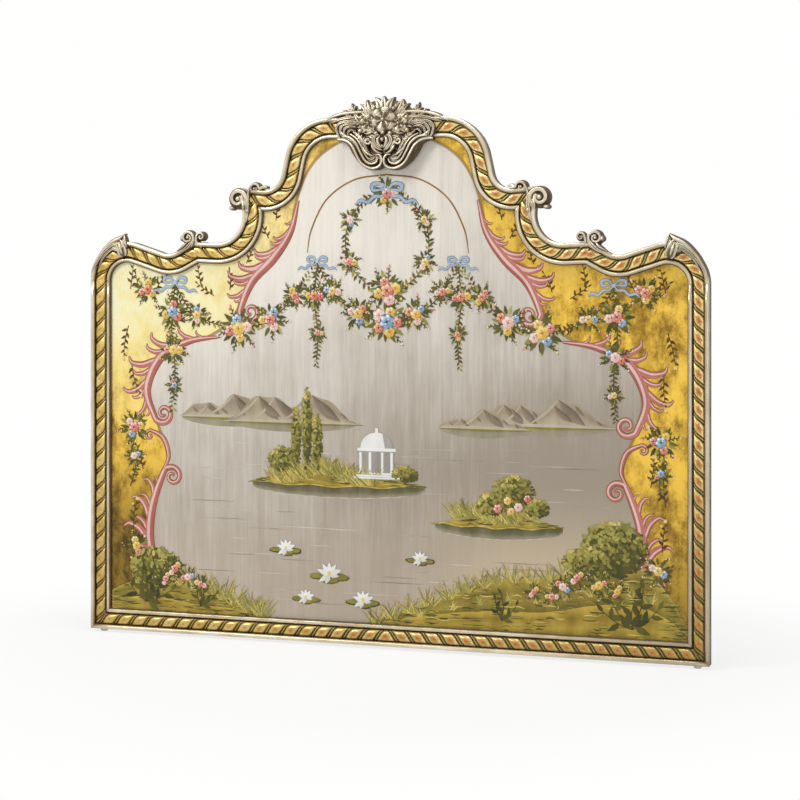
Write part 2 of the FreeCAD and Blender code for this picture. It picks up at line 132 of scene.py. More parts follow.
def around(centre, rows):
    """Rows whose x and z are counted from a centre."""
    return [(centre.real + x, centre.imag + z, *rest) for x, z, *rest in rows]


class Run:
    """One member's stretch of the sight edge, as stations with the way outwards at each."""

    def __init__(self):
        self.places, self.outward, self.along = [], [], []
        self.before = self.after = 0.0


class Walk:
    """Draws the sight edge as runs, from a place and a bearing in degrees, the plate on the left."""

    def __init__(self, place, angle, step, step_angle):
        self.place, self.angle, self.travelled = place, angle, 0.0
        self.step, self.step_angle = step, step_angle
        self.runs = [Run()]

    def add(self, places, outward, rope_length):
        run = self.runs[-1]
        first = 0 if not run.places else 1
        count = len(places)
        run.along += list(self.travelled + rope_length * np.arange(count) / (count - 1))[first:]
        run.places += list(places)[first:]
        run.outward += list(outward)[first:]
        self.travelled += rope_length
        self.place = places[-1]
        return self

    def straight(self, length):
        shares = np.linspace(0, 1, max(2, math.ceil(length / self.step) + 1))
        heading = spoke(self.angle)
        outward = np.full(len(shares), -1j * heading)
        return self.add(self.place + heading * length * shares, outward, length)

    def bend(self, radius, angle, turn):
        shares = np.linspace(0, 1, max(2, math.ceil(angle / self.step_angle) + 1))
        centre = self.place + 1j * spoke(self.angle) * radius * turn
        ways = -1j * spoke(self.angle) * np.exp(1j * np.radians(angle * turn * shares))
        self.angle += angle * turn
        rope_radius = radius + turn * rope_centre_u
        return self.add(centre + ways * radius * turn, ways, math.radians(angle) * rope_radius)

    def joint(self, angle=0.0):
        self.runs[-1].after = angle / 2
        self.runs.append(Run())
        self.runs[-1].before = angle / 2
        self.angle += angle
        self.travelled = 0.0
        return self


def sight_runs(step, step_angle):
    """The runs of the right half: bottom, stile, shoulder, haunch and crown."""
    walk = Walk(sight_bottom * 1j, 0.0, step, step_angle)
    walk.straight(sight_half).joint(90).straight(stile_height).joint()
    walk.bend(shoulder_radius, shoulder_angle, 1).straight(shoulder_straight)
    walk.bend(dip_radius, dip_angle, -1).straight(dip_straight).joint(lower_cusp_angle)
    walk.straight(haunch_straight).bend(haunch_radius, haunch_angle, -1).joint(upper_cusp_angle)
    walk.bend(neck_radius, neck_angle, -1).straight(crown_straight)
    walk.bend(crown_radius, 180 - walk.angle, 1).straight(walk.place.real)
    return walk.runs


RUN_NAMES = ("bottom", "stile", "shoulder", "haunch", "crown")
coarse = dict(zip(RUN_NAMES, sight_runs(*COARSE)))
fine = dict(zip(RUN_NAMES, sight_runs(*FINE)))


def stations(run, mitre_steps):
    """Places, the way of one unit of u, the run travelled and how u adds to it, with the mitred ends."""
    places, ways, along = np.array(run.places), np.array(run.outward), np.array(run.along)
    leans = np.zeros(len(places))
    for angle, end, side in ((run.before, 0, -1), (run.after, -1, 1)):
        if not angle:
            continue
        lean = math.tan(math.radians(angle))
        shares = np.arange(1, mitre_steps + 1) / mitre_steps
        heading = 1j * ways[end]
        extra = (places[end], ways[end] + heading * side * lean * shares, along[end], side * lean * shares)
        joined = []
        for row, old in zip(extra, (places, ways, along, leans)):
            row = np.broadcast_to(row, mitre_steps)
            joined.append(np.concatenate([row[::-1], old] if side < 0 else [old, row]))
        places, ways, along, leans = joined
    return places, ways, along, leans


def swept(run, section, mitre_steps=1):
    """Rings of a section, given as u and height, along a run with mitred ends: x, z and height."""
    places, ways, _, _ = stations(run, mitre_steps)
    u, heights = np.array(section).T
    return at_height(places[:, None] + ways[:, None] * u, heights)


def add_object(name, data):
    thing = bpy.data.objects.new(name, data)
    bpy.context.scene.collection.objects.link(thing)
    return thing


def add_mesh(name, bm):
    """An object made of a bmesh, which is freed."""
    mesh = bpy.data.meshes.new(name)
    bm.to_mesh(mesh)
    bm.free()
    return add_object(name, mesh)


def mirrored(grids):
    return [(points * [-1, 1, 1], values) for points, values in grids]


def surface(name, grids, mirror=False):
    """A closed mesh object from grids, each (points, {attribute: values}), whose columns go round."""
    whole = bmesh.new()
    names = sorted({key for _, values in grids for key in values})
    for points, values in mirrored(grids) if mirror else grids:
        rows, columns = points.shape[:2]
        bm = bmesh.new()
        bmesh.ops.create_grid(bm, x_segments=columns, y_segments=rows - 1, size=1)
        mesh = bpy.data.meshes.new("part")
        bm.to_mesh(mesh)
        bm.free()
        points = np.concatenate([points, points[:, :1]], axis=1)
        x, z, height = [points[..., i].ravel() * MM for i in range(3)]
        mesh.vertices.foreach_set("co", np.stack([x, BACK_Y - height, z], axis=1).ravel())
        for key in names:
            layer = mesh.attributes.new(key, "FLOAT", "POINT")
            level = np.broadcast_to(values[key], (rows, columns))
            level = np.concatenate([level, level[:, :1]], axis=1)
            layer.data.foreach_set("value", level.ravel().astype(np.float32))
        whole.from_mesh(mesh)
        bpy.data.meshes.remove(mesh)
    bmesh.ops.remove_doubles(whole, verts=whole.verts, dist=0.02 * MM)
    bmesh.ops.holes_fill(whole, edges=[edge for edge in whole.edges if edge.is_boundary])
    bmesh.ops.recalc_face_normals(whole, faces=whole.faces)
    thing = add_mesh(name, whole)
    thing.data.shade_smooth()
    return thing


def smooth_line(points, count):
    """Rows of values made smooth along their length, through every given row."""
    points = np.array(points, dtype=float)
    ends = np.vstack([2 * points[0] - points[1], points, 2 * points[-1] - points[-2]])
    spots = np.linspace(0, len(points) - 1, count)
    first = np.minimum(spots.astype(int), len(points) - 2)
    t = (spots - first)[:, None]
    a, b, c, d = [ends[first + i] for i in range(4)]
    bow = (2 * a - 5 * b + 4 * c - d) * t ** 2
    return 0.5 * (2 * b + (c - a) * t + bow + (3 * b - a - 3 * c + d) * t ** 3)


# Tops of carved strands over their width from -1 to 1: round, a leaf with its vein, a band and a cupped leaf
def round_top(v):
    return (1 - np.abs(v) ** 2.2).clip(0) ** 0.5


def leaf_top(v):
    return (1 - np.abs(v) ** 2.6).clip(0) ** 0.6 * (1 - 0.38 * np.exp(-(v / 0.16) ** 2))


def band_top(v):
    return (1 - np.abs(v) ** 4).clip(0) ** 0.5 * (0.84 + 0.16 * np.abs(v) ** 1.5)


def cup_top(v):
    return (1 - np.abs(v) ** 8).clip(0) ** 0.5 * (0.5 + 0.5 * np.abs(v) ** 2.5)


def blade(points, low, top=leaf_top, teeth=0, wall=0.45, count=26, across=13):
    """A carved strand over rows of x, z, half width and height: walls, then a shaped top, flat underneath."""
    x, z, width, high = smooth_line(points, count).T
    t = np.linspace(0, 1, count)
    width = np.maximum(width, 0.15) * (1 - 0.26 * np.abs(np.cos(math.pi * teeth * t)) * (teeth > 0))
    side = 1j * unit(np.gradient(x) + 1j * np.gradient(z)) * width
    v = np.sin(np.linspace(-math.pi / 2, math.pi / 2, across))
    shape = top(v)
    flat = (x + 1j * z)[:, None] + side[:, None] * v
    heights = low + (high - low)[:, None] * (wall + (1 - wall) * shape)
    rise = np.broadcast_to((shape / shape.max()) ** 1.5, heights.shape)
    under = flat[:, ::across - 1][:, ::-1]
    flat = np.concatenate([flat, under], axis=1)
    heights = np.concatenate([heights, np.full(under.shape, low)], axis=1)
    rise = np.concatenate([rise, np.zeros(under.shape)], axis=1)
    return at_height(flat, heights), {"rise": rise}


def dome(centre, radius, low, high, wide=1.0, wall=0.3):
    """A boss, stretched across by a factor."""
    shares = np.array([1, 1, 0.97, 0.88, 0.74, 0.58, 0.42, 0.28, 0.14, 0.02])
    angles = np.radians(np.arange(0, 360, 15))
    lift = wall + (1 - wall) * np.sqrt((1 - shares ** 2).clip(0))
    lift[0] = 0
    flat = centre + shares[:, None] * radius * (np.cos(angles) * wide + 1j * np.sin(angles))
    heights = low + (high - low) * np.broadcast_to(lift[:, None], flat.shape)
    return at_height(flat, heights), {"rise": np.clip((heights - low) / (high - low), 0, 1)}


def volute(centre, radius, start, winding, low, high, tail=(), turns=1.15, band=0.42):
    """A rolled scroll: a band winding inwards over a sunk disc to a round eye."""
    t = np.linspace(0, 1, 16)
    reach = radius * (1 - band / 2) * (1 - 0.66 * t ** 0.9)
    spots = centre + reach * np.exp(1j * np.radians(start + winding * 360 * turns * t))
    rows = flat_rows([(p, radius * band * (0.5 - 0.2 * s), high - 5 * s) for p, s in zip(spots, t)])
    points, values = dome(centre, radius * 0.93, low, high - 12, wall=0.7)
    return [
        # the sunk disc keeps little rise, so glaze and painted shade darken it under the band
        (points, {"rise": values["rise"] * 0.2}),
        blade([*tail, *rows], low, band_top, wall=0.6, count=110),
        dome(centre, radius * 0.27, low, high - 1, wall=0.5)]


def acanthus(root, tip, width, low, high, bend=0.15, lobes=4, end=10, stem=1.0):
    """A leaf with a stem and pairs of lobes that grow smaller to its tip; bend is to the left of its way."""
    way = tip - root

    def along(t):
        return root + way * (t + 1j * bend * math.sin(math.pi * t))
    shares = (stem * 0.16, stem * 0.24, stem * 0.2, 0.03)
    rows = [(along(t), width * share, high - drop)
            for t, share, drop in zip((0, 0.3, 0.65, 1), shares, (3, 0, 1, end))]
    grids = [blade(flat_rows(rows), low, leaf_top, wall=0.5, count=16, across=9)]
    for i in range(lobes):
        t = 0.12 + 0.72 * i / lobes
        start, heading = along(t), along(t + 0.05) - along(t)
        heading /= abs(heading)
        reach = width * (0.72 - 0.34 * t)
        for side in (-1, 1):
            out = heading * spoke(side * (62 - 34 * t))
            lobe = [(start, width * 0.07, high - 2), (start + out * reach * 0.6, width * 0.15, high - 3),
                    (start + out * reach + heading * reach * 0.25, width * 0.03, high - end)]
            grids.append(blade(flat_rows(lobe), low, round_top, wall=0.45, count=9, across=7))
    return grids


# Rows of a petal: share of its length, half width and height
PETAL = ((0.12, 0.14, -4), (0.40, 0.40, -2), (0.70, 0.52, 0), (0.90, 0.42, -1), (1.0, 0.20, -4))


def bloom(centre, radius, low, high, count, turn):
    """An open flower: broad outer petals, smaller ones over the gaps between them, and a heart."""
    grids = []
    for ring, share, lift, top in ((0, 1.0, -5, round_top), (1, 0.66, 0, cup_top)):
        reach = radius * share
        for i in range(count):
            way = spoke(turn + (i + ring / 2) * 360 / count)
            level = high + lift - 2.5 * (i % 2)
            rows = [(centre + way * reach * share, reach * wide, level + up) for share, wide, up in PETAL]
            grids.append(blade(flat_rows(rows), low, top, wall=0.6, count=14, across=11))
    return grids + [dome(centre, radius * 0.2, low, high + 2)]


# Carved strands: height from one underside to the next, and undersides in a turn
UNDER_STEP, UNDERSIDES = 0.06, 19


def carving(name, grids, mirror=False):
    """A mesh object of carved strands, their undersides at slightly different heights: none coincide."""
    raised = []
    for i, (points, values) in enumerate(grids):
        under = points[..., 2] == points[..., 2].min()
        raised.append((points + under[..., None] * [0, 0, UNDER_STEP * (i % UNDERSIDES)], values))
    return surface(name, raised, mirror)


def finish_piece(thing, slot, material, *nodes):
    """Gives a piece its material, and makes it ride on the frame in place of CAD nodes."""
    thing.data.materials.clear()
    thing.data.materials.append(material)
    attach(thing, "frame")
    if nodes:
        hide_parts(*nodes)


class Value:
    """A shader socket that takes part in Python expressions."""

    def __init__(self, shade, socket):
        self.shade, self.socket = shade, socket

    def math(self, operation, *others):
        return self.shade.add("ShaderNodeMath", dict(enumerate((self, *others))), operation=operation)

    def __add__(self, other):
        return self.math("ADD", other)

    def __sub__(self, other):
        return self.math("SUBTRACT", other)

    def __rsub__(self, other):
        return (self * -1) + other

    def __mul__(self, other):
        return self.math("MULTIPLY", other)

    def __pow__(self, other):
        return self.math("POWER", other)

    __radd__, __rmul__ = __add__, __mul__

    def smooth(self, low, high):
        """0 below low, 1 above high, smooth between them; the other way round where low is the larger."""
        inputs = {"Value": self, "From Min": low, "From Max": high}
        return self.shade.add("ShaderNodeMapRange", inputs, interpolation_type="SMOOTHSTEP")


class Nodes:
    """The node tree of a world or a material."""

    def __init__(self, owner):
        owner.use_nodes = True
        self.tree = owner.node_tree

    def add(self, kind, inputs=None, output=0, **settings):
        """A node of a type, with its settings made first and then the values or links of its sockets."""
        node = self.tree.nodes.new(kind)
        for key, value in settings.items():
            setattr(node, key, value)
        for key, value in (inputs or {}).items():
            self.feed(node.inputs[key], value)
        return Value(self, node.outputs[output])

    def feed(self, socket, value):
        if isinstance(value, Value):
            self.tree.links.new(value.socket, socket)
        elif isinstance(value, (tuple, list)) and len(value) == 3 and socket.type == "RGBA":
            socket.default_value = (*value, 1.0)
        else:
            socket.default_value = value

    def seen(self, first, *others):
        """1 for rays of the kinds that are named."""
        share = self.add("ShaderNodeLightPath", output="Is " + first + " Ray")
        for name in others:
            share = share.math("MAXIMUM", self.add("ShaderNodeLightPath", output="Is " + name + " Ray"))
        return share

    def finish(self, end, share, first, second):
        """Feeds the output node with a mix of two shaders."""
        mixed = self.add("ShaderNodeMixShader", {0: share, 1: first, 2: second})
        self.feed(self.tree.nodes[end].inputs[0], mixed)


class Shade(Nodes):
    """One material's nodes."""

    def __init__(self, name):
        self.material = bpy.data.materials.new(name)
        super().__init__(self.material)
        self.shader = self.tree.nodes["Principled BSDF"]

    def attribute(self, name):
        return self.add("ShaderNodeAttribute", output="Fac", attribute_name=name)

    def place(self, scale=(1, 1, 1)):
        """Object coordinates in metres, scaled."""
        spot = self.add("ShaderNodeTexCoord", output="Object")
        return self.add("ShaderNodeMapping", {"Vector": spot, "Scale": scale})

    def noise(self, scale, detail=3.0, stretch=(1, 1, 1), roughness=0.55):
        inputs = {"Vector": self.place(stretch), "Scale": scale, "Detail": detail, "Roughness": roughness}
        return self.add("ShaderNodeTexNoise", inputs)

    def axis(self, name):
        """One of the object coordinates, in metres."""
        return self.add("ShaderNodeSeparateXYZ", {0: self.place()}, output=name)

    def back(self):
        """1 on the faces that look to the wall."""
        normal = self.add("ShaderNodeNewGeometry", output="True Normal")
        return self.add("ShaderNodeSeparateXYZ", {0: normal}, output="Y").smooth(0.6, 0.8)

    def mix(self, share, first, second):
        """A colour between two others."""
        return self.add("ShaderNodeMix", {0: share, 6: first, 7: second}, output=2, data_type="RGBA")

    def bump(self, height, distance, strength=1.0):
        """A normal from a height; the distance is in millimetres."""
        return self.add("ShaderNodeBump", {"Height": height, "Distance": distance * MM, "Strength": strength})

    def surface(self, **sockets):
        """Feeds the shader, with Base_Color standing for Base Color, and gives the material."""
        for key, value in sockets.items():
            self.feed(self.shader.inputs[key.replace("_", " ")], value)
        return self.material


def silver_leaf(name="silver_leaf", reach=0.66):
    """Worn silver leaf over brown clay, with brown glaze and painted shade in the hollows, up to a reach of
    the rise.
    """
    s = Shade(name)
    rise = s.attribute("rise")
    cloud = s.noise(26.0, 5.0)
    speck = s.noise(210.0, 3.0)
    # brown glaze and painted shade: the leaf takes the glaze colour where the rise is low, in the hollows
    glaze_and_shade = (rise + (cloud - 0.5) * 0.5 + (speck - 0.5) * 0.3).smooth(reach, reach - 0.5)
    look = bpy.context.scene.mirror_look
    silver = s.mix(s.noise(9.0, 4.0).smooth(0.3, 0.7), (0.58, 0.485, 0.335), tuple(look.silver))
    # glaze with painted shade: the leaf turns browner below the tops of the carving
    silver = s.mix((rise + (cloud - 0.5) * 0.3).smooth(0.95, 0.55) * 0.7, silver, (0.40, 0.31, 0.17))
    x, z = s.axis("X"), s.axis("Z")
    # painted shade: the leaf greyer and darker towards the right, and darker still at the lower right
    silver = s.mix(x.smooth(0.35, 0.95) * 0.32, silver, (0.37, 0.31, 0.20))
    silver = s.mix(x.smooth(0.3, 0.9) * z.smooth(0.6, 0.0) * 0.4, silver, (0.27, 0.22, 0.14))
    colour = s.mix(glaze_and_shade, silver, tuple(look.glaze_and_shade))
    worn = speck.smooth(0.66, 0.72) * rise.smooth(0.7, 1.0)
    colour = s.mix(worn * 0.6, colour, (0.34, 0.20, 0.12))
    bare = s.back()
    grain = s.noise(14.0, 6.0, stretch=(1, 1, 3.0))
    colour = s.mix(bare, colour, s.mix(grain.smooth(0.3, 0.7), (0.30, 0.19, 0.10), (0.50, 0.35, 0.20)))
    return s.surface(
        Base_Color=colour, Metallic=(1 - glaze_and_shade) * (1 - bare) * 0.72,
        Roughness=0.30 + glaze_and_shade * 0.35 + (cloud - 0.5) * 0.2,
        Normal=s.bump(cloud * 0.6 + speck * 0.4, 0.5, 0.35))


def carved_leaf():
    """The silver leaf of the carvings, with more glaze and painted shade in their hollows."""
    return silver_leaf("carved_leaf", 1.05)


def gilt_rope():
    """Gold leaf on the rope: an orange-red flower on each unit and green leaves in the grooves. Painted light
    and shade: the gold lighter on the right, darker towards the bottom and on the left, and dark in the
    hollows and grooves.
    """
    s = Shade("gilt_rope")
    rise, turn, cross = s.attribute("rise"), s.attribute("turn"), s.attribute("cross")
    cloud = s.noise(40.0, 4.0)
    speck = s.noise(260.0, 2.0)
    look = bpy.context.scene.mirror_look
    gold = s.mix(cloud.smooth(0.3, 0.7), (0.60, 0.40, 0.08), tuple(look.gold))
    gold = s.mix(s.noise(14.0).smooth(0.45, 0.75) * 0.4, gold, (0.98, 0.84, 0.46))
    x, z = s.axis("X"), s.axis("Z")
    right = x.smooth(-0.75, 0.1)
    # painted light: the gold lighter towards the right
    gold = s.mix(right * 0.35, gold, (1.0, 0.84, 0.42))
    # painted shade: the gold darker towards the bottom, most at the lower right
    low = z.smooth(0.7, 0.1) * (0.45 + x.smooth(0.0, 0.8) * 0.55)
    gold = s.mix(low * 0.84, gold, (0.32, 0.235, 0.06))
    # painted shade: the gold darker towards the left
    gold = s.mix(x.smooth(-0.5, -0.9) * 0.22, gold, (0.40, 0.26, 0.06))
    petals = (cross.math("ARCTAN2", turn * 2.2) * 5).math("COSINE")
    spot = ((turn * turn) * 12.0 + (cross * cross) * 2.0) ** 0.5 + (speck - 0.5) * 0.25 - petals * 0.09
    rosette = spot.smooth(0.94, 0.62) * (0.12 + right * 0.78)
    heart = spot.smooth(0.36, 0.16) * (0.5 + right * 0.5)
    colour = s.mix(rosette, gold, s.mix(cloud, (0.44, 0.15, 0.02), (0.70, 0.34, 0.10)))
    colour = s.mix(heart, colour, s.mix(right, (0.22, 0.11, 0.02), (0.42, 0.12, 0.015)))
    away = (turn * turn) ** 0.5
    leaf = s.mix(right, (0.30, 0.19, 0.04), s.mix(cloud, (0.16, 0.19, 0.04), (0.40, 0.42, 0.14)))
    green = s.mix(right, (0.075, 0.045, 0.008), (0.06, 0.085, 0.016))
    green = s.mix(away.smooth(0.425, 0.465), green, leaf)
    fillet = (away + right * 0.025).smooth(0.36, 0.39)
    colour = s.mix(fillet, colour, green)
    # brown glaze and painted shade in the hollows of the rope
    hollow = (rise + (cloud - 0.5) * 0.3).smooth(0.85, 0.35) * 0.5
    colour = s.mix(hollow, colour, (0.30, 0.15, 0.025))
    # painted shade: near black in the deepest grooves and at the rope's sides
    dark = (rise + (speck - 0.5) * 0.2).smooth(0.40, 0.12)
    colour = s.mix(dark * 0.85, colour, (0.075, 0.042, 0.010))
    metal = (1 - dark) * (1 - rosette * 0.8) * (1 - fillet * 0.6) * (0.7 - right * 0.2)
    return s.surface(
        Base_Color=colour, Metallic=metal, Roughness=0.30 + rosette * 0.25 + dark * 0.3,
        Normal=s.bump(cloud + speck * 0.5, 0.4, 0.3))


def shared(name, make):
    """The material of this name, made if it isn't there yet."""
    return bpy.data.materials.get(name) or make()


# Section of the rails: back, side, outer round, channel and inner bead
def arc(centre_u, centre_height, radius, first, last, count):
    angles = np.radians(np.linspace(first, last, count))
    return list(zip(centre_u + radius * np.cos(angles), centre_height + radius * np.sin(angles)))


outer_wall = moulding_width - side_setback
round_centre_u = moulding_width - round_radius
round_centre_height = seat_height + round_rise
rail_section = [
    (rabbet_lap, 0.0), (outer_wall, 0.0), (outer_wall, 2.0), (outer_wall, 24.0),
    *arc(round_centre_u, round_centre_height, round_radius, -42, 222, 18),
    (rope_outer_u + 0.9, seat_height + 4.0), (rope_outer_u, seat_height),
    (2 * bead_radius, seat_height), (2 * bead_radius, seat_height + bead_wall - 2.0),
    *arc(bead_radius, seat_height + bead_wall, bead_radius, -12, 192, 14),
    (0.0, seat_height), (rabbet_lap, seat_height),
]


# How bright the leaf is by angle, round the bead and round the outer round: painted highlight lines, with
# glaze and painted shade at the low values
BEAD_HIGHLIGHT_AND_SHADE = ((-20, 8, 30, 62, 80, 96, 112, 134, 172), (0.1, 0.35, 1, 1, 0.7, 0.9, 0.65, 0.2, 0.05))
ROUND_HIGHLIGHT_AND_SHADE = ((0, 30, 50, 66, 100, 120, 135, 150, 190, 230, 320),
              (0.5, 0.75, 1, 1, 1, 0.45, 0.75, 0.45, 0.2, 0.1, 0.35))


def rail_rise(section):
    """How bright each corner of the section is: painted highlight lines, with brown glaze and painted shade
    beside them.
    """
    rise = []
    for u, height in section:
        if u < rope_inner_u:
            angle = math.degrees(math.atan2(height - seat_height - bead_wall, u - bead_radius))
            rise.append(np.interp(angle, *BEAD_HIGHLIGHT_AND_SHADE))
        else:
            angle = math.degrees(math.atan2(height - round_centre_height, u - round_centre_u)) % 360
            rise.append(np.interp(angle, *ROUND_HIGHLIGHT_AND_SHADE))
    return np.array(rise)


def rail_grid(run):
    rings = swept(run, rail_section)
    return rings, {"rise": np.broadcast_to(rail_rise(rail_section), rings.shape[:2])}


def rope_grid(run, lay, bare=0.0):
    """The carved rope in its gilt hollow: rounded units, and a narrow leaf in each slanting groove."""
    look = bpy.context.scene.mirror_look
    rope_rise = look.rope_rise / MM
    half = (rope_outer_u - lip_u) / 2
    x = np.sin(np.linspace(-math.pi / 2, math.pi / 2, 21))
    places, ways, along, leans = stations(run, 18)
    u = np.concatenate([[lip_u], lip_u + half * (1 + x), [rope_outer_u]])
    cross = np.concatenate([[-1], x, [1]])
    total = along.max() - bare
    count = max(1, round(total * MM / look.rope_pitch))
    # turn is 0 in the middle of a unit and half a turn either way in its grooves, which bend along the bead
    lean = lay * math.tan(look.rope_slant) * half * (cross - 0.9 * (-0.45 - cross).clip(0) ** 1.3)
    turn = (along[:, None] + leans[:, None] * u - lean) * count / total
    turn = turn - np.round(turn)
    away = np.abs(turn)
    unit = 0.30 + 0.70 * np.clip(1 - (away / 0.39) ** 3, 0, 1) ** 0.5
    leaf = 0.12 + 0.50 * np.clip(1 - ((0.5 - away) / 0.075) ** 2, 0, 1) ** 0.5
    swell = np.where(away < 0.385, unit, leaf)
    bulge = np.clip(1 - np.abs(cross) ** 3, 0, 1) ** 0.5
    heights = rope_base + bulge * rope_rise * swell
    rise = np.clip((heights - rope_base) / rope_rise * 1.15, 0, 1)
    heights[:, [0, -1]] = seat_height
    points = at_height(places[:, None] + ways[:, None] * u, heights)
    return points, {"rise": rise, "turn": turn, "cross": cross}


def make_rails(material):
    for side, mirror in SIDES:
        for name, part in (("stile", "stile"), ("shoulder", "shoulder_rail"), ("haunch", "haunch_rail")):
            node = side + "_" + part
            thing = surface(node + "_moulding", [rail_grid(coarse[name])], mirror)
            finish_piece(thing, "silvered_wood", material, node)
    for name, node in (("bottom", "bottom_rail"), ("crown", "crown_rail")):
        half = rail_grid(coarse[name])
        finish_piece(surface(node + "_moulding", [half, *mirrored([half])]), "silvered_wood", material, node)


def make_ropes(material):
    for side, mirror in SIDES:
        for name in RUN_NAMES:
            node = side + "_" + name + "_rope"
            lay = 0.8 if name == "bottom" else -1
            bare = crest_seat_half if name == "crown" else 0.0
            thing = surface(node + "_carving", [rope_grid(fine[name], lay, bare)], mirror)
            finish_piece(thing, "gilded_wood", material, node)


def cusp_corner(run, angle):
    """Outer corner of the moulding where the sight edge turns by an angle at a run's end."""
    half = math.radians(angle / 2)
    way = run.outward[-1] * cmath.exp(1j * half)
    return run.places[-1] + way * moulding_width / math.cos(half)


# Carvings of the right half, each strand as rows of x, z, half width and height
def upper_scroll():
    corner = cusp_corner(coarse["haunch"], upper_cusp_angle)
    large, small = corner + (0.2 - 0.88j) * 33, corner + (-2.2 - 0.05j) * 20
    return [
        *volute(large, 33, 180, -1, 12, 43, around(large, [(-22, -66, 3, 34), (-28, -34, 6, 38)])),
        *volute(small, 20, 180, -1, 12, 43, around(small, [(-38, 3, 3, 36), (-26, 4, 5, 40)]), 1.1),
        blade(around(small, [(12, 4, 4, 42), (19, -16, 5, 40), (17, -40, 3, 36)]), 20, round_top),
        blade(around(large, [(-32, 8, 3, 40), (-31, -14, 8, 43), (-29, -36, 9, 41), (-27, -62, 1, 27)]),
              18, leaf_top, 4),
        blade(around(large, [(-20, -4, 2, 38), (-19, -22, 5, 42), (-14, -44, 1, 34)]), 20),
        dome(large + (-31 - 34j), 8, 20, 43, 0.8), dome(large + (19 - 26j), 7, 12, 42, 1.5)]


def lower_scroll():
    corner = cusp_corner(coarse["shoulder"], lower_cusp_angle)
    large, small = corner + (0.65 + 0.52j) * 23, corner + (-1.67 + 1.0j) * 15
    return [
        *volute(large, 23, 180, -1, 12, 43, around(large, [(14, -38, 2, 36), (-12, -22, 5, 40)]), 1.3, 0.4),
        *volute(small, 15, 0, 1, 12, 43, around(small, [(-2, -30, 3, 34), (13, -16, 5, 40)]), 1.1, 0.45),
        blade(around(large, [(-16, -6, 2, 38), (-6, -22, 8, 43), (14, -36, 6, 40), (48, -46, 1, 36)]), 20),
        blade(around(large, [(2, -14, 2, 38), (12, -24, 5, 42), (34, -38, 1, 36)]), 20, round_top),
        dome(large + (18 - 3j), 9, 12, 43, 0.8)]


def shoulder_leaf():
    low = 20
    return [
        blade([(792, 1143, 1, 30), (806, 1131, 7, 39), (836, 1115, 8, 42), (868, 1083, 6, 41),
               (892, 1041, 4, 39), (896, 1012, 2, 36)], 12, round_top),
        blade([(814, 1130, 2, 36), (809, 1120, 11, 41), (803, 1106, 15, 43), (798, 1094, 16, 43),
               (795, 1084, 14, 42), (793, 1078, 8, 40)], low, cup_top, wall=0.6),
        blade([(808, 1120, 2, 38), (804, 1106, 6, 43), (799, 1092, 6, 43), (796, 1084, 2, 38)],
              low, round_top),
        blade([(794, 1143, 1, 34), (790, 1132, 4, 40), (786, 1118, 4, 42), (783, 1104, 2, 42)],
              low, round_top),
        blade([(794, 1134, 2, 34), (796, 1116, 7, 40), (806, 1100, 6, 41), (824, 1096, 3, 40),
               (812, 1092, 1, 34)], low, leaf_top),
        blade([(800, 1118, 3, 38), (826, 1112, 6, 42), (856, 1090, 6, 42), (882, 1052, 4, 40),
               (891, 1020, 1, 33)], low, leaf_top),
        blade([(806, 1104, 3, 36), (832, 1098, 5, 39), (858, 1076, 5, 38), (876, 1046, 1, 31)],
              low, leaf_top)]


def crest_lobe():
    low = 19
    return [
        blade([(128, 1408, 8, 36), (100, 1399, 14, 41), (74, 1375, 23, 43), (50, 1352, 25, 44),
               (24, 1347, 20, 44), (10, 1347, 8, 42)], low, round_top, wall=0.8),
        blade([(140, 1404, 4, 42), (112, 1400, 5, 49), (92, 1386, 5, 54), (79, 1364, 5, 57),
               (66, 1341, 5, 58), (49, 1327, 5, 58), (28, 1322, 5, 58), (9, 1329, 5, 58), (3, 1346, 5, 57),
               (10, 1359, 4, 56), (21, 1360, 2, 54)], low, round_top, wall=0.75, count=60),
        blade([(124, 1412, 3, 42), (100, 1408, 5, 50), (80, 1392, 5, 54), (67, 1368, 5, 55),
               (54, 1346, 5, 55), (38, 1335, 5, 55), (21, 1338, 4, 55), (15, 1349, 3, 53)],
              low, round_top, wall=0.7, count=46),
        blade([(100, 1418, 3, 46), (80, 1406, 4, 51), (66, 1388, 4, 54), (55, 1366, 4, 54), (43, 1350, 4, 54),
               (30, 1347, 3, 52), (24, 1353, 1, 50)], low, round_top, wall=0.7, count=36),
        blade([(90, 1424, 3, 46), (68, 1408, 5, 52), (55, 1390, 5, 54), (46, 1370, 5, 54), (36, 1358, 3, 50)],
              low, leaf_top, wall=0.7, count=36),
        blade([(26, 1357, 2, 50), (40, 1360, 5, 57), (54, 1372, 5, 56), (60, 1386, 1, 50)], low, round_top),
        *acanthus(58 + 1380j, 84 + 1424j, 24, low, 54, 0.1),
        *volute(44 + 1398j, 13, 200, 1, 30, 60, [(22, 1372, 2, 54), (27, 1386, 4, 58)], 1.0, 0.5)]


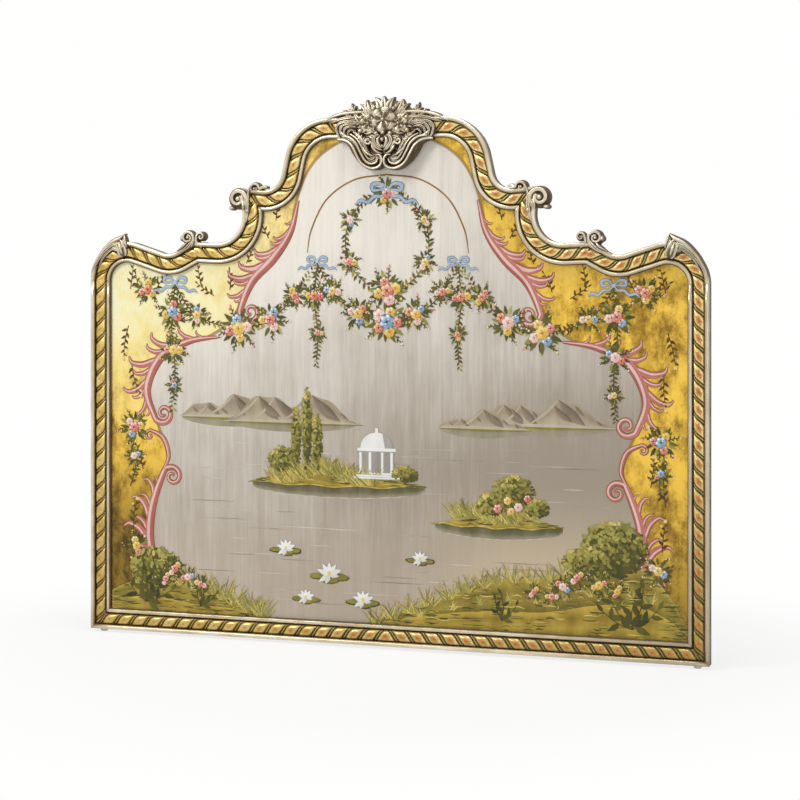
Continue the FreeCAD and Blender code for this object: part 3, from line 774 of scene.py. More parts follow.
def crest_wing():
    low = 14
    return [
        blade([(66, 1460, 12, 36), (98, 1450, 27, 36), (122, 1440, 21, 36), (134, 1434, 12, 35)],
              low, round_top, wall=0.85),
        blade([(54, 1478, 4, 44), (86, 1477, 7, 44), (118, 1475, 6, 43), (150, 1467, 6, 41),
               (182, 1452, 3, 36)], low, round_top, count=34),
        blade([(66, 1464, 3, 44), (98, 1464, 6, 44), (128, 1460, 6, 43), (150, 1453, 4, 41),
               (166, 1449, 1, 36)], low, leaf_top, count=34),
        blade([(74, 1450, 3, 43), (102, 1453, 6, 44), (127, 1450, 6, 44), (141, 1438, 5, 43),
               (138, 1420, 5, 42), (131, 1406, 4, 42), (120, 1401, 2, 42)], low, leaf_top, count=46),
        blade([(84, 1444, 2, 43), (106, 1446, 5, 45), (122, 1441, 5, 45), (129, 1428, 5, 45),
               (126, 1412, 2, 42)], low, leaf_top, count=34),
        blade([(82, 1436, 2, 43), (100, 1439, 5, 46), (114, 1433, 5, 46), (118, 1420, 4, 46),
               (112, 1408, 2, 42)], low, leaf_top, count=34),
        blade([(84, 1426, 2, 43), (98, 1428, 4, 47), (106, 1420, 4, 47), (102, 1410, 2, 44)],
              low, leaf_top, count=24),
        blade([(96, 1410, 3, 43), (112, 1412, 6, 44), (125, 1421, 4, 44), (129, 1432, 1, 40)],
              low, round_top),
        *acanthus(60 + 1440j, 112 + 1446j, 22, low, 44, 0.12),
        *acanthus(78 + 1462j, 98 + 1503j, 26, low, 43, -0.1, 2, 7),
        *acanthus(94 + 1464j, 124 + 1484j, 20, low, 43, -0.1, 3, 7)]


def crest_leaves():
    """The spray over the lobes: tips against the wall, and broad leaves curling over them."""
    grids = []
    for root, tip, width, high, bend in (
            (14 + 1466j, 28 + 1518j, 40, 46, 0.15), (34 + 1462j, 52 + 1512j, 40, 46, -0.12),
            (46 + 1454j, 71 + 1500j, 36, 46, 0.15), (50 + 1442j, 88 + 1476j, 34, 46, -0.1)):
        grids += acanthus(root, tip, width, 20, high, bend, 1, 5, 1.5)
    for root, tip, width, high, bend in (
            (30 + 1440j, 78 + 1454j, 40, 52, 0.2), (24 + 1420j, 74 + 1426j, 38, 53, 0.2),
            (18 + 1412j, 44 + 1404j, 30, 54, -0.2)):
        grids += acanthus(root, tip, width, 22, high, bend, 2, 7)
    return grids + mirrored(grids) + acanthus(1468j, -3 + 1521j, 42, 20, 48, 0, 1, 5, 1.5)


def crest_body():
    """The mass under the leaves and lobes, and the heart-shaped bud."""
    right = [(0, 1512), (32, 1508), (61, 1496), (81, 1472), (76, 1440), (66, 1412), (50, 1386), (28, 1366),
             (0, 1356)]
    outline = smooth_line(right, 49)
    outline = np.vstack([outline[:-1], outline[::-1][:-1] * [-1, 1]])
    centre = np.array([0.0, 1432.0])
    rows = []
    for share, height in ((1, 14), (1, 36), (0.95, 40), (0.8, 43), (0.5, 45), (0.2, 46), (0.02, 46)):
        rows.append(np.column_stack([centre + (outline - centre) * share, np.full(len(outline), height)]))
    points = np.array(rows)
    ribs = 0.5 + 0.5 * np.cos(np.arange(len(outline)) * math.pi * 0.5)
    points[1:4, :, 2] -= 4 * (1 - ribs)
    grids = [(points, {"rise": np.broadcast_to(0.2 + 0.65 * ribs, points.shape[:2])})]
    half = [
        blade([(1, 1371, 1, 54), (13, 1379, 7, 61), (24, 1394, 7, 62), (22, 1409, 6, 62), (10, 1414, 3, 58)],
              30, leaf_top, wall=0.6),
        blade([(2, 1378, 2, 56), (10, 1388, 6, 63), (13, 1401, 6, 64), (6, 1411, 2, 60)],
              30, round_top, wall=0.6),
        blade([(4, 1362, 2, 48), (18, 1368, 5, 54), (30, 1380, 5, 56), (34, 1392, 1, 52)],
              24, round_top, wall=0.6)]
    return grids + half + mirrored(half) + [dome(1401j, 9, 30, 66, 0.9), dome(1384j, 6, 30, 63, 0.8)]


def crest_flowers():
    """Open flowers and berries among the leaves."""
    grids = bloom(44 + 1446j, 26, 34, 57, 6, 20)
    for centre, radius, high in (
            (20 + 1418j, 7, 60), (66 + 1462j, 6, 55), (30 + 1486j, 6, 56), (68 + 1426j, 7, 55)):
        grids.append(dome(centre, radius, 30, high, wall=0.5))
    return grids + mirrored(grids) + bloom(1456j, 36, 34, 62, 6, 18) + [dome(1420j, 8, 34, 62)]


# Painting of the plate. Pigments: darker and lighter colour of each
PIGMENTS = {
    "gilt_line": ((0.20, 0.09, 0.02), (0.42, 0.22, 0.05)),
    "brown": ((0.07, 0.035, 0.01), (0.19, 0.10, 0.02)),
    "haze": ((0.46, 0.39, 0.28), (0.70, 0.63, 0.46)),
    "hill": ((0.27, 0.205, 0.135), (0.60, 0.51, 0.37)),
    "hill_shade": ((0.14, 0.105, 0.07), (0.36, 0.285, 0.20)),
    "water": ((0.28, 0.235, 0.19), (0.68, 0.62, 0.53)),
    "sward": ((0.12, 0.095, 0.015), (0.52, 0.38, 0.07)),
    "meadow": ((0.17, 0.115, 0.012), (0.64, 0.45, 0.075)),
    "reflection": ((0.085, 0.08, 0.025), (0.42, 0.37, 0.26)),
    "bank": ((0.11, 0.10, 0.018), (0.40, 0.34, 0.075)),
    "bank_shade": ((0.04, 0.04, 0.01), (0.13, 0.115, 0.025)),
    "leaf": ((0.045, 0.05, 0.011), (0.17, 0.16, 0.03)),
    "leaf_light": ((0.20, 0.20, 0.04), (0.52, 0.46, 0.12)),
    "straw": ((0.38, 0.27, 0.04), (0.80, 0.64, 0.20)),
    "scroll": ((0.42, 0.11, 0.09), (0.62, 0.24, 0.20)),
    "scroll_light": ((0.72, 0.38, 0.33), (0.92, 0.70, 0.64)),
    "rose_dark": ((0.36, 0.03, 0.03), (0.58, 0.12, 0.09)),
    "rose": ((0.62, 0.17, 0.12), (0.90, 0.50, 0.38)),
    "blush": ((0.78, 0.50, 0.42), (0.97, 0.84, 0.74)),
    "amber": ((0.45, 0.19, 0.02), (0.75, 0.42, 0.06)),
    "yellow": ((0.70, 0.42, 0.05), (0.98, 0.80, 0.30)),
    "blue_dark": ((0.05, 0.10, 0.20), (0.15, 0.25, 0.40)),
    "blue": ((0.22, 0.33, 0.46), (0.55, 0.66, 0.76)),
    "white": ((0.66, 0.64, 0.58), (0.98, 0.97, 0.94)),
    "stone_shade": ((0.30, 0.27, 0.24), (0.50, 0.46, 0.42)),
}
FLOWERS = (("rose_dark", "rose", "blush"), ("amber", "yellow", "white"), ("rose", "blush", "white"),
           ("blue_dark", "blue", "white"), ("rose_dark", "rose", "yellow"), ("amber", "yellow", "yellow"))
# Pigments of foliage, each up to a share of light
FOLIAGE = ((0.28, "bank_shade"), (0.42, "leaf"), (0.66, "bank"), (0.92, "leaf_light"), (math.inf, "straw"))
# Height from one level of paint to the next, in millimetres
PAINT_GAP = 0.1


# Rows of a frond: its way along the scroll and away from it, and its half width
FROND = ((0, 0, 0.03), (0.35, 0.10, 0.11), (0.75, 0.30, 0.115), (1.0, 0.66, 0.075), (0.92, 0.92, 0.02))
# Outline of a leaf that is 1 long and 1 wide
LEAF = np.array([0, 0.22 + 0.42j, 0.5 + 0.5j, 0.8 + 0.22j, 1, 0.75 - 0.28j, 0.4 - 0.5j, 0.15 - 0.36j])


class Painting:
    """Brush strokes on the plate, kept by pigment, each with a level over the ground and a tone."""

    def __init__(self, seed):
        self.shapes = {name: [] for name in PIGMENTS}
        self.chance = random.Random(seed)
        self.sign = 1
        self.boxes = {}

    def keep(self, pigment, first, second, level, tone):
        """Each stroke takes the first slot of its level that no stroke beneath or beside it has."""
        spots = first if second is None else np.concatenate([first, second])
        box = np.array([spots.real.min(), -spots.real.max(), spots.imag.min(), -spots.imag.max()])
        boxes, slots = self.boxes.setdefault(level, ([], []))
        used = set()
        if boxes:
            meets = (np.array(boxes) + box[[1, 0, 3, 2]] < 0).all(axis=1)
            used = {slots[k] for k in np.flatnonzero(meets)}
        slot = next(k for k in range(len(used) + 1) if k not in used)
        boxes.append(box)
        slots.append(slot)
        self.shapes[pigment].append((first, second, level, tone, slot))

    def at(self, x, z):
        """A place given for the right half, on the half that is being painted."""
        return complex(self.sign * x, z)

    def line(self, *places):
        return [self.at(x, z) for x, z in places]

    def rows(self, *rows):
        return [(self.at(x, z), width) for x, z, width in rows]

    def shape(self, pigment, points, level, tone=0.5):
        """A filled outline."""
        self.keep(pigment, np.array(points), None, level, tone)

    def ground(self, pigment, upper, lower, level, tones):
        """Ground between two lines, in strips whose tone runs from the first to the last of tones."""
        lines = [upper * (1 - share) + lower * share for share in np.linspace(0, 1, len(tones))]
        for k in range(len(tones) - 1):
            self.keep(pigment, lines[k], lines[k + 1], level, tones[k:k + 2])

    def stroke(self, pigment, rows, level, tone=0.5, count=20):
        """A strip along rows of place and half width, tapering as they say."""
        x, z, width = smooth_line(flat_rows(rows), count).T
        side = 1j * unit(np.gradient(x) + 1j * np.gradient(z)) * np.maximum(width, 0.2)
        self.keep(pigment, x + 1j * z + side, x + 1j * z - side, level, tone)

    def dash(self, pigment, place, reach, thin, thick, level):
        """A short stroke, thin at both ends."""
        rows = [(place - reach, thin), (place, thick), (place + reach.conjugate(), thin)]
        self.stroke(pigment, rows, level, self.chance.random(), 6)

    def leaf(self, pigment, place, angle, length, width, level, tone=0.5):
        spots = LEAF.real * length + 1j * LEAF.imag * width
        self.shape(pigment, place + spots * spoke(angle), level, tone)

    def blob(self, pigment, place, radius, level, tone=0.5, flat=1.0, angle=0.0, sides=9, uneven=0.12):
        ways = np.exp(2j * math.pi * np.arange(sides) / sides)
        ways *= [1 + self.chance.uniform(-uneven, uneven) for _ in ways]
        self.shape(pigment, place + (ways.real + 1j * ways.imag * flat) * radius * spoke(angle), level, tone)

    def flower(self, place, radius, colours, level):
        """A rose seen from above, lit from the upper left: outer petals, inner petals and a heart."""
        dark, mid, light = colours
        start = self.chance.uniform(0, 360)
        self.blob(dark, place, radius * 0.95, level, 0.4, sides=11)
        for i in range(6):
            way = spoke(start + 60 * i)
            lit = 0.5 + 0.5 * math.cos(math.radians(start + 60 * i - 130))
            self.blob(mid, place + way * radius * 0.58, radius * 0.37, level + 1, lit, sides=7)
            if lit > 0.6:
                self.blob(light, place + way * radius * 0.70, radius * 0.20, level + 2, lit, sides=6)
        self.blob(dark, place, radius * 0.42, level + 2, 0.9, sides=8)
        for i in range(4):
            way = spoke(start + 40 + 90 * i)
            self.blob(mid if i % 2 else light, place + way * radius * 0.30, radius * 0.17, level + 3,
                      0.3 + 0.2 * i, 0.6, start + 130 + 90 * i, 6)
        self.blob(dark, place - 0.04j * radius, radius * 0.17, level + 4, 0.1, sides=6)

    def sprig(self, place, angle, length, pigment, level, size=15.0, tip=None, bend=None):
        """A curved stem with leaves left and right, and buds at its tip if asked."""
        bend = self.chance.uniform(-0.3, 0.3) if bend is None else bend

        def along(t):
            return place + spoke(angle) * length * t * (1 + 1j * bend * t)
        self.stroke(pigment, [(along(0), 1.4), (along(0.5), 1.2), (along(1), 0.7)], level, 0.3, 7)
        leaves = max(3, int(length / size * 1.7))
        for i in range(leaves + 1):
            t = 0.12 + 0.88 * i / leaves
            lean = angle + math.degrees(2 * bend * t) + (0 if i == leaves else 50 if i % 2 else -50)
            reach = size * (1.15 - 0.45 * t)
            self.leaf(pigment, along(t), lean + self.chance.uniform(-12, 12), reach, reach * 0.42, level,
                      self.chance.uniform(0, 1))
        if tip:
            self.blob(tip, along(1.04), size * 0.30, level + 1, 0.7, sides=7)
            self.blob(tip, along(0.85) + spoke(angle + 80) * size * 0.5, size * 0.24, level + 1, 0.5, sides=6)

    def posy(self, place, radius, count, level, leaves=15):
        """A bunch: leaves and budding sprigs all round, then flowers, the largest in the middle."""
        start = self.chance.uniform(0, 360)
        for i in range(leaves):
            way = start + 360 * i / leaves + self.chance.uniform(-9, 9)
            reach = radius * self.chance.uniform(0.55, 0.85)
            name = "leaf_light" if i % 4 == 3 else "leaf"
            self.leaf(name, place + spoke(way) * radius * 0.55, way + self.chance.uniform(-22, 22), reach,
                      reach * 0.36, level, self.chance.uniform(0, 1))
        for i in range(5):
            way = start + 72 * i + self.chance.uniform(-20, 20)
            tip = self.chance.choice(("yellow", "rose", "blush", "yellow"))
            foot = place + spoke(way) * radius * 0.4
            self.sprig(foot, way, radius * 1.05, "leaf", level + 1, radius * 0.27, tip)
        for i in range(count):
            way = spoke(start + 360 * i / max(1, count - 1))
            spot = place if i == 0 else place + way * radius * 0.58
            size = radius * (0.46 if i == 0 else self.chance.uniform(0.30, 0.40))
            colours = FLOWERS[(i + int(start)) % len(FLOWERS)]
            self.flower(spot, size, colours, level + 3 + (2 if i == 0 else 0))

    def swag(self, points, bunches, level, size=16.0):
        """A garland: a leafy stem through places, and bunches at shares of its length."""
        x, z = smooth_line([(p.real, p.imag) for p in points], 300).T
        run = np.concatenate([[0], np.cumsum(np.hypot(np.diff(x), np.diff(z)))])

        def along(distance):
            return complex(np.interp(distance, run, x), np.interp(distance, run, z))
        self.stroke("brown", [(complex(a, b), 1.3) for a, b in zip(x[::25], z[::25])], level, 0.5, 60)
        at, side = 0.0, 1
        while at < run[-1]:
            way = math.degrees(cmath.phase(along(at + 2) - along(at - 2))) if at > 2 else 0.0
            lean = way + side * self.chance.uniform(35, 75)
            reach = size * self.chance.uniform(0.75, 1.2)
            name = self.chance.choice(("leaf", "leaf", "leaf_light", "brown"))
            self.leaf(name, along(at), lean, reach, reach * 0.40, level, self.chance.uniform(0, 1))
            side = -side
            at += size * 0.42
        for share, radius, count in bunches:
            self.posy(along(share * run[-1]), radius * 1.18, count, level + 2)

    def bow(self, place, size, level):
        """A bow: two loops, two tails and a knot."""
        loop = ((0, 0.05), (0.45 + 0.42j, 0.12), (0.95 + 0.36j, 0.15), (0.92 + 0.02j, 0.12),
                (0.45 + 0.04j, 0.08), (0, 0.04))
        tail = ((0, 0.05), (0.35 - 0.35j, 0.10), (0.85 - 0.38j, 0.13), (1.25 - 0.72j, 0.11),
                (1.75 - 0.62j, 0.12), (2.1 - 0.9j, 0.02))
        for side in (-1, 1):
            for pigment, share, lift in (("blue_dark", 1.0, 0), ("blue", 0.72, 1)):
                for band in (loop, tail):
                    rows = [(place + complex(side * p.real, p.imag) * size, w * size * share)
                            for p, w in band]
                    self.stroke(pigment, rows, level + lift, 0.6, 30)
        self.blob("blue", place, size * 0.16, level + 2, 0.8)

    def scroll(self, rows, level, turns, size, side, fronds=0):
        """A tapering scroll along rows, rolled up at its end, with fronds on its back."""
        last, before = rows[-1][0], rows[-2][0]
        heading = (last - before) / abs(last - before)
        centre = last + 1j * side * heading * size
        t = np.linspace(0, 1, 12)[1:]
        start = (last - centre) / abs(last - centre)
        curl = centre + size * (1 - 0.78 * t) * start * np.exp(1j * side * 2 * math.pi * turns * t)
        whole = [*rows, *[(p, rows[-1][1] * (1 - 0.7 * s)) for p, s in zip(curl, t)]]
        x, z, width = smooth_line(flat_rows(rows), 100).T
        for i in range(fronds):
            k = int(12 + 76 * i / max(1, fronds - 1))
            way = complex(x[k], z[k]) - complex(x[k - 2], z[k - 2])
            way /= abs(way)
            out = -1j * side * way
            foot = complex(x[k], z[k]) + out * width[k] * 0.2
            reach = size * (1.0 + 1.5 * math.sin(math.pi * (i + 0.5) / fronds)) * (1.0 if i % 2 else 0.72)
            frond = [(foot + way * reach * t + out * reach * up, reach * wide) for t, up, wide in FROND]
            self.stroke("gilt_line", [(p, w + 1.2) for p, w in frond], level, 0.3, 14)
            self.stroke("scroll", frond, level + 1, (0.9, 0.1) if side > 0 else (0.1, 0.9), 14)
            self.stroke("scroll_light", [(p + out * w * 0.3, w * 0.30) for p, w in frond], level + 2, 0.6, 14)
        self.stroke("gilt_line", [(p, w + 1.8) for p, w in whole], level, 0.3, 90)
        self.stroke("scroll", whole, level + 3, (0.0, 1.0) if side > 0 else (1.0, 0.0), 90)
        self.stroke("scroll_light", [(p + (-0.3 + 0.2j) * w, w * 0.34) for p, w in whole], level + 4, 0.6, 90)
        self.blob("scroll", complex(curl[-1]), size * 0.20, level + 4, 0.6)

    def tuft(self, place, reach, count, level):
        """Blades of grass fanning up from one place."""
        for i in range(count):
            lean = 90 + 50 * (2 * (i + self.chance.random()) / count - 1)
            length = reach * self.chance.uniform(0.55, 1.1)
            droop = 0.25 * (1 if lean < 90 else -1) * self.chance.uniform(-0.2, 1)
            foot = place + self.chance.uniform(-1, 1) * reach * 0.3
            rows = [(foot, 1.5)]
            for t, width in ((0.55, 1.2), (1, 0.3)):
                rows.append((foot + spoke(lean) * length * t * (1 - 1j * droop * t), width))
            pigment = self.chance.choice(("straw", "leaf_light", "bank"))
            self.stroke(pigment, rows, level, self.chance.uniform(0.2, 1), 5)

    def crown(self, place, wide, tall, dabs, level, dab=9.0):
        """Foliage of a tree or bush as dabs, dark below, yellow-green where the light falls."""
        self.blob("bank_shade", place, wide * 0.86, level, 0.6, tall / wide, 0, 26, 0.12)
        dabs, dab = int(dabs * 1.7), dab * 0.72
        for _ in range(dabs):
            r, a = math.sqrt(self.chance.random()), self.chance.uniform(0, 360)
            away = spoke(a) * r
            spot = place + complex(away.real * wide, away.imag * tall)
            lit = 0.5 + 0.45 * (away.imag * 0.8 - away.real * 0.5) + self.chance.uniform(-0.22, 0.22)
            name = next(name for limit, name in FOLIAGE if lit < limit)
            self.blob(name, spot, dab * self.chance.uniform(0.6, 1.2), level + min(4, int(lit * 5)),
                      self.chance.uniform(0, 1), 0.6, self.chance.uniform(0, 180), 6, 0.25)

    def build(self, material_of):
        """One sheet object for each pigment."""
        deepest = {level: max(slots) + 1 for level, (_, slots) in self.boxes.items()}
        for pigment, shapes in self.shapes.items():
            bm = bmesh.new()
            tone_layer = bm.verts.layers.float.new("tone")
            for first, second, level, tone, slot in shapes:
                height = seat_height + PAINT_GAP * (1.5 + level + slot / (deepest[level] + 1))
                count = len(first)
                if second is None:
                    made = bmesh.ops.create_circle(bm, cap_ends=True, radius=1.0, segments=count)
                    spots, tones = first, [tone] * count
                else:
                    made = bmesh.ops.create_grid(bm, x_segments=count - 1, y_segments=1, size=1)
                    spots = np.concatenate([first, second])
                    tones = np.repeat(np.broadcast_to(tone, 2), count)
                for vert, spot, value in zip(made["verts"], spots, tones):
                    vert.co = spot.real * MM, BACK_Y - height * MM, spot.imag * MM
                    vert[tone_layer] = value
            bm.normal_update()
            bmesh.ops.reverse_faces(bm, faces=[face for face in bm.faces if face.normal.y > 0])
            finish_piece(add_mesh("paint_" + pigment, bm), "silvered_plate", material_of(pigment))


def paint_material(pigment):
    s = Shade("paint_" + pigment)
    dark, light = PIGMENTS[pigment]
    brush = s.noise(24.0, 5.0, stretch=(1, 1, 0.35))
    share = s.attribute("tone") * 0.6 + brush * 0.9 - 0.25
    colour = s.mix(share.smooth(0.0, 1.0), dark, light)
    return s.surface(Base_Color=colour, Roughness=0.5 + (brush - 0.5) * 0.2, Specular_IOR_Level=0.25)


# Edge of the silver field inside the gilt margin, right half from the foot to the crown
FIELD = [(610, 40), (640, 120), (700, 190), (722, 290), (700, 400), (664, 500), (690, 590), (726, 680),
         (700, 780), (620, 838), (540, 850), (462, 905), (420, 990), (352, 1062), (292, 1130), (272, 1220),
         (244, 1300), (196, 1362), (110, 1410), (0, 1440)]
PLATE_STEP = 8.0


def feet_on(line, spots):
    """The nearest place on each piece of a line of points, for each place."""
    first, second = line[:-1], line[1:]
    span = second - first
    t = ((spots[:, None] - first) * span.conjugate()).real / np.maximum(np.abs(span) ** 2, 1e-9)
    return first + span * t.clip(0, 1)


def distance_to(line, spots):
    """Least distance from each place to a line of points."""
    return np.abs(feet_on(line, spots) - spots[:, None]).min(axis=1)


def inside(line, spots):
    """Whether each place lies within a closed line, by counting crossings."""
    first, second = line, np.roll(line, -1)
    x, z = spots.real[:, None], spots.imag[:, None]
    crosses = (first.imag > z) != (second.imag > z)
    rise = np.where(second.imag == first.imag, 1e-9, second.imag - first.imag)
    at = first.real + (z - first.imag) * (second.real - first.real) / rise
    return (crosses & (x < at)).sum(axis=1) % 2 == 1


def make_plate(material):
    """The plate, cut to the sight edge with its lap; each vertex has its distance into the gilt margin."""
    run = [stations(coarse[name], 1) for name in RUN_NAMES]
    half = np.concatenate([places + ways * plate_edge for places, ways, _, _ in run])
    outline = np.concatenate([half, -half[::-1].conjugate()])
    columns = np.arange(-856, 856 + PLATE_STEP, PLATE_STEP)
    rows = np.arange(56, 1416 + PLATE_STEP, PLATE_STEP)
    x, z = np.meshgrid(columns, rows)
    spots = (x + 1j * z).ravel()
    # every vertex close to the outline goes onto it, and what lies outside goes
    keep = inside(outline, spots)
    ring = np.append(outline, outline[0])
    close = np.flatnonzero(distance_to(ring, spots) < PLATE_STEP * 0.71)
    feet = feet_on(ring, spots[close])
    spots[close] = feet[np.arange(len(close)), np.abs(feet - spots[close][:, None]).argmin(axis=1)]
    keep[close] = True
    x, z = smooth_line(FIELD, 260).T
    edge = x + 1j * z
    margin = distance_to(edge, np.abs(spots.real) + 1j * spots.imag)
    field = np.concatenate([edge, -edge[::-1].conjugate()])
    margin = np.where(inside(field, spots), -margin, margin)
    bm = bmesh.new()
    bmesh.ops.create_grid(bm, x_segments=len(columns) - 1, y_segments=len(rows) - 1, size=1)
    layer = bm.verts.layers.float.new("margin")
    for vert, spot, value in zip(bm.verts, spots, margin):
        vert.co = spot.real * MM, BACK_Y - seat_height * MM, spot.imag * MM
        vert[layer] = value
    bmesh.ops.delete(bm, geom=[v for v, good in zip(list(bm.verts), keep) if not good], context="VERTS")
    bmesh.ops.recalc_face_normals(bm, faces=bm.faces)
    if sum(face.normal.y for face in bm.faces) > 0:
        bmesh.ops.reverse_faces(bm, faces=bm.faces)
    thing = add_mesh("painted_plate", bm)
    solid = thing.modifiers.new("Thickness", "SOLIDIFY")
    solid.thickness = plate_thickness * MM
    solid.offset = -1
    finish_piece(thing, "silvered_plate", material, "plate")


def plate_leaf():
    """Silver leaf with upright streaks, and gold leaf on the margin, with painted reflection and shade:
    lighter towards the top left, darker towards the foot.
    """
    s = Shade("plate_leaf")
    margin = s.attribute("margin")
    x, z = s.axis("X"), s.axis("Z")
    streak = s.noise(34.0, 7.0, stretch=(1, 1, 0.07), roughness=0.7)
    fine = s.noise(150.0, 3.0, stretch=(1, 1, 0.05))
    cloud = s.noise(3.2, 4.0)
    # painted reflection: the silver lighter towards the top and the left, with the clouds and streaks of the
    # leaf
    light = z.smooth(0.36, 1.25) * 0.62 + x.smooth(0.75, -0.75) * 0.42 + (cloud - 0.5) * 0.6
    light = light + (streak - 0.5) * 0.5 + (fine - 0.5) * 0.3
    silver = s.mix(light.smooth(0.0, 1.05), (0.37, 0.31, 0.24), (0.90, 0.845, 0.745))
    # painted shade: the silver darker and browner towards the bottom
    warm = z.smooth(0.5, 0.1) * (0.5 + x.smooth(0.0, 0.4) * 0.25)
    silver = s.mix(warm, silver, s.mix(x.smooth(0.0, 0.4), (0.53, 0.43, 0.32), (0.80, 0.64, 0.40)))
    fleck = s.noise(22.0, 7.0, stretch=(1.3, 1, 0.8), roughness=0.72)
    patch = s.noise(5.0, 5.0, roughness=0.6)
    tone = patch * 0.7 + fleck * 0.75 - 0.2
    gold = s.mix(tone.smooth(0.36, 0.64), (0.27, 0.14, 0.008), (0.98, 0.62, 0.075))
    # painted sheen: the gold lighter towards the top and the left
    shine = z.smooth(0.30, 1.0) * (0.26 + x.smooth(0.0, -0.8) * 0.85) + (patch - 0.5) + (fleck - 0.5)
    gold = s.mix(shine.smooth(0.25, 0.95), gold, (0.98, 0.77, 0.25))
    # painted glare: the gold near white at the top left, and less metallic there
    painted_glare = z.smooth(0.72, 0.95) * x.smooth(-0.1, -0.7)
    gold = s.mix(painted_glare * 0.95, gold, s.mix(tone.smooth(0.3, 0.6), (1.0, 0.82, 0.32), (1.0, 0.97, 0.64)))
    # the gold darker towards the top right
    dark_top_right = z.smooth(0.92, 1.12) * x.smooth(0.2, 0.5)
    gold = s.mix(dark_top_right * 0.62, gold, s.mix(tone.smooth(0.4, 0.6), (0.20, 0.10, 0.01), (0.46, 0.29, 0.035)))
    # painted shade: the gold darker towards the foot, most at the lower left and the lower right
    foot = z.smooth(0.62, 0.2) * (0.3 + x.smooth(0.2, -0.8) * 0.65)
    foot = foot + z.smooth(0.36, 0.14) * x.smooth(0.4, 0.7) * 0.5
    gold = s.mix(foot, gold, s.mix(tone.smooth(0.4, 0.62), (0.065, 0.037, 0.002), (0.28, 0.165, 0.013)))
    edge = (margin + (fleck - 0.5) * 8).smooth(-1.5, 1.5)
    rim = (margin * margin).smooth(30.0, 8.0)
    colour = s.mix(edge, silver, gold)
    colour = s.mix(rim * 0.8, colour, (0.30, 0.17, 0.03))
    return s.surface(
        Base_Color=colour, Metallic=0.15 + edge * (1 - painted_glare) * 0.3 - edge * painted_glare * 0.15,
        Roughness=0.40 + (streak - 0.5) * 0.2, Normal=s.bump(fleck, 0.3, 0.15))


def hills(art, first, last, foot, tall, level):
    """A range along the far shore: a ridge, slopes in light and shade, and haze at the foot."""
    chance = art.chance
    t = np.linspace(0, 1, 60)
    waves = 0.68 + 0.24 * np.cos(t * 12 + tall) + 0.08 * np.cos(t * 29 + 2 * tall)
    shape = np.sin(math.pi * t) ** 0.9 * waves
    ridge = first + (last - first) * t + 1j * (foot + tall * shape)
    base = ridge.real + 1j * (foot - 3)
    art.ground("hill", ridge, base, level, (0.55, 0.25, 0.6, 1.0))
    peaks = [k for k in range(2, 58) if shape[k] > max(shape[k - 1], shape[k + 1])]
    for k in peaks + list(range(7, 54, 9)):
        drop = (ridge[k].imag - foot) * (0.95 if k in peaks else chance.uniform(0.4, 0.7))
        start = ridge[k] - 1j * (0.5 if k in peaks else drop * chance.uniform(0.1, 0.3))
        for side, pigment, wide in ((1, "hill_shade", 0.20), (-1, "haze", 0.06))[:2 if k in peaks else 1]:
            lean = drop * chance.uniform(0.9, 1.3) * side
            rows = [(start, 0.5), (start + complex(lean * 0.25, -drop * 0.34), drop * wide * 0.8),
                    (start + complex(lean * 0.6, -drop * 0.7), drop * wide), (start + complex(lean, -drop),
                                                                              0.5)]
            art.stroke(pigment, rows, level + 1, (0.1, 0.9) if side > 0 else (0.1, 0.4), 12)
    middle = (first + last) / 2
    reach = abs(last - first) / 2
    lower = base.real + 1j * (foot - 3 - 26 * np.sin(math.pi * t) ** 0.5)
    art.ground("reflection", base, lower, 0, (0.75, 0.9, 1.0))
    for k, (pigment, tone, rows) in enumerate((
            ("haze", 0.5, ((-1.05, -2, 1), (0, 0, 4), (1.05, -3, 1))),
            ("bank", 0.6, ((-0.95, -5, 1), (0.1, -7, 3.0), (1.1, -5, 1))))):
        rows = [(complex(middle + reach * share, foot + up), wide) for share, up, wide in rows]
        art.stroke(pigment, rows, level + 2 + k, tone, 16)


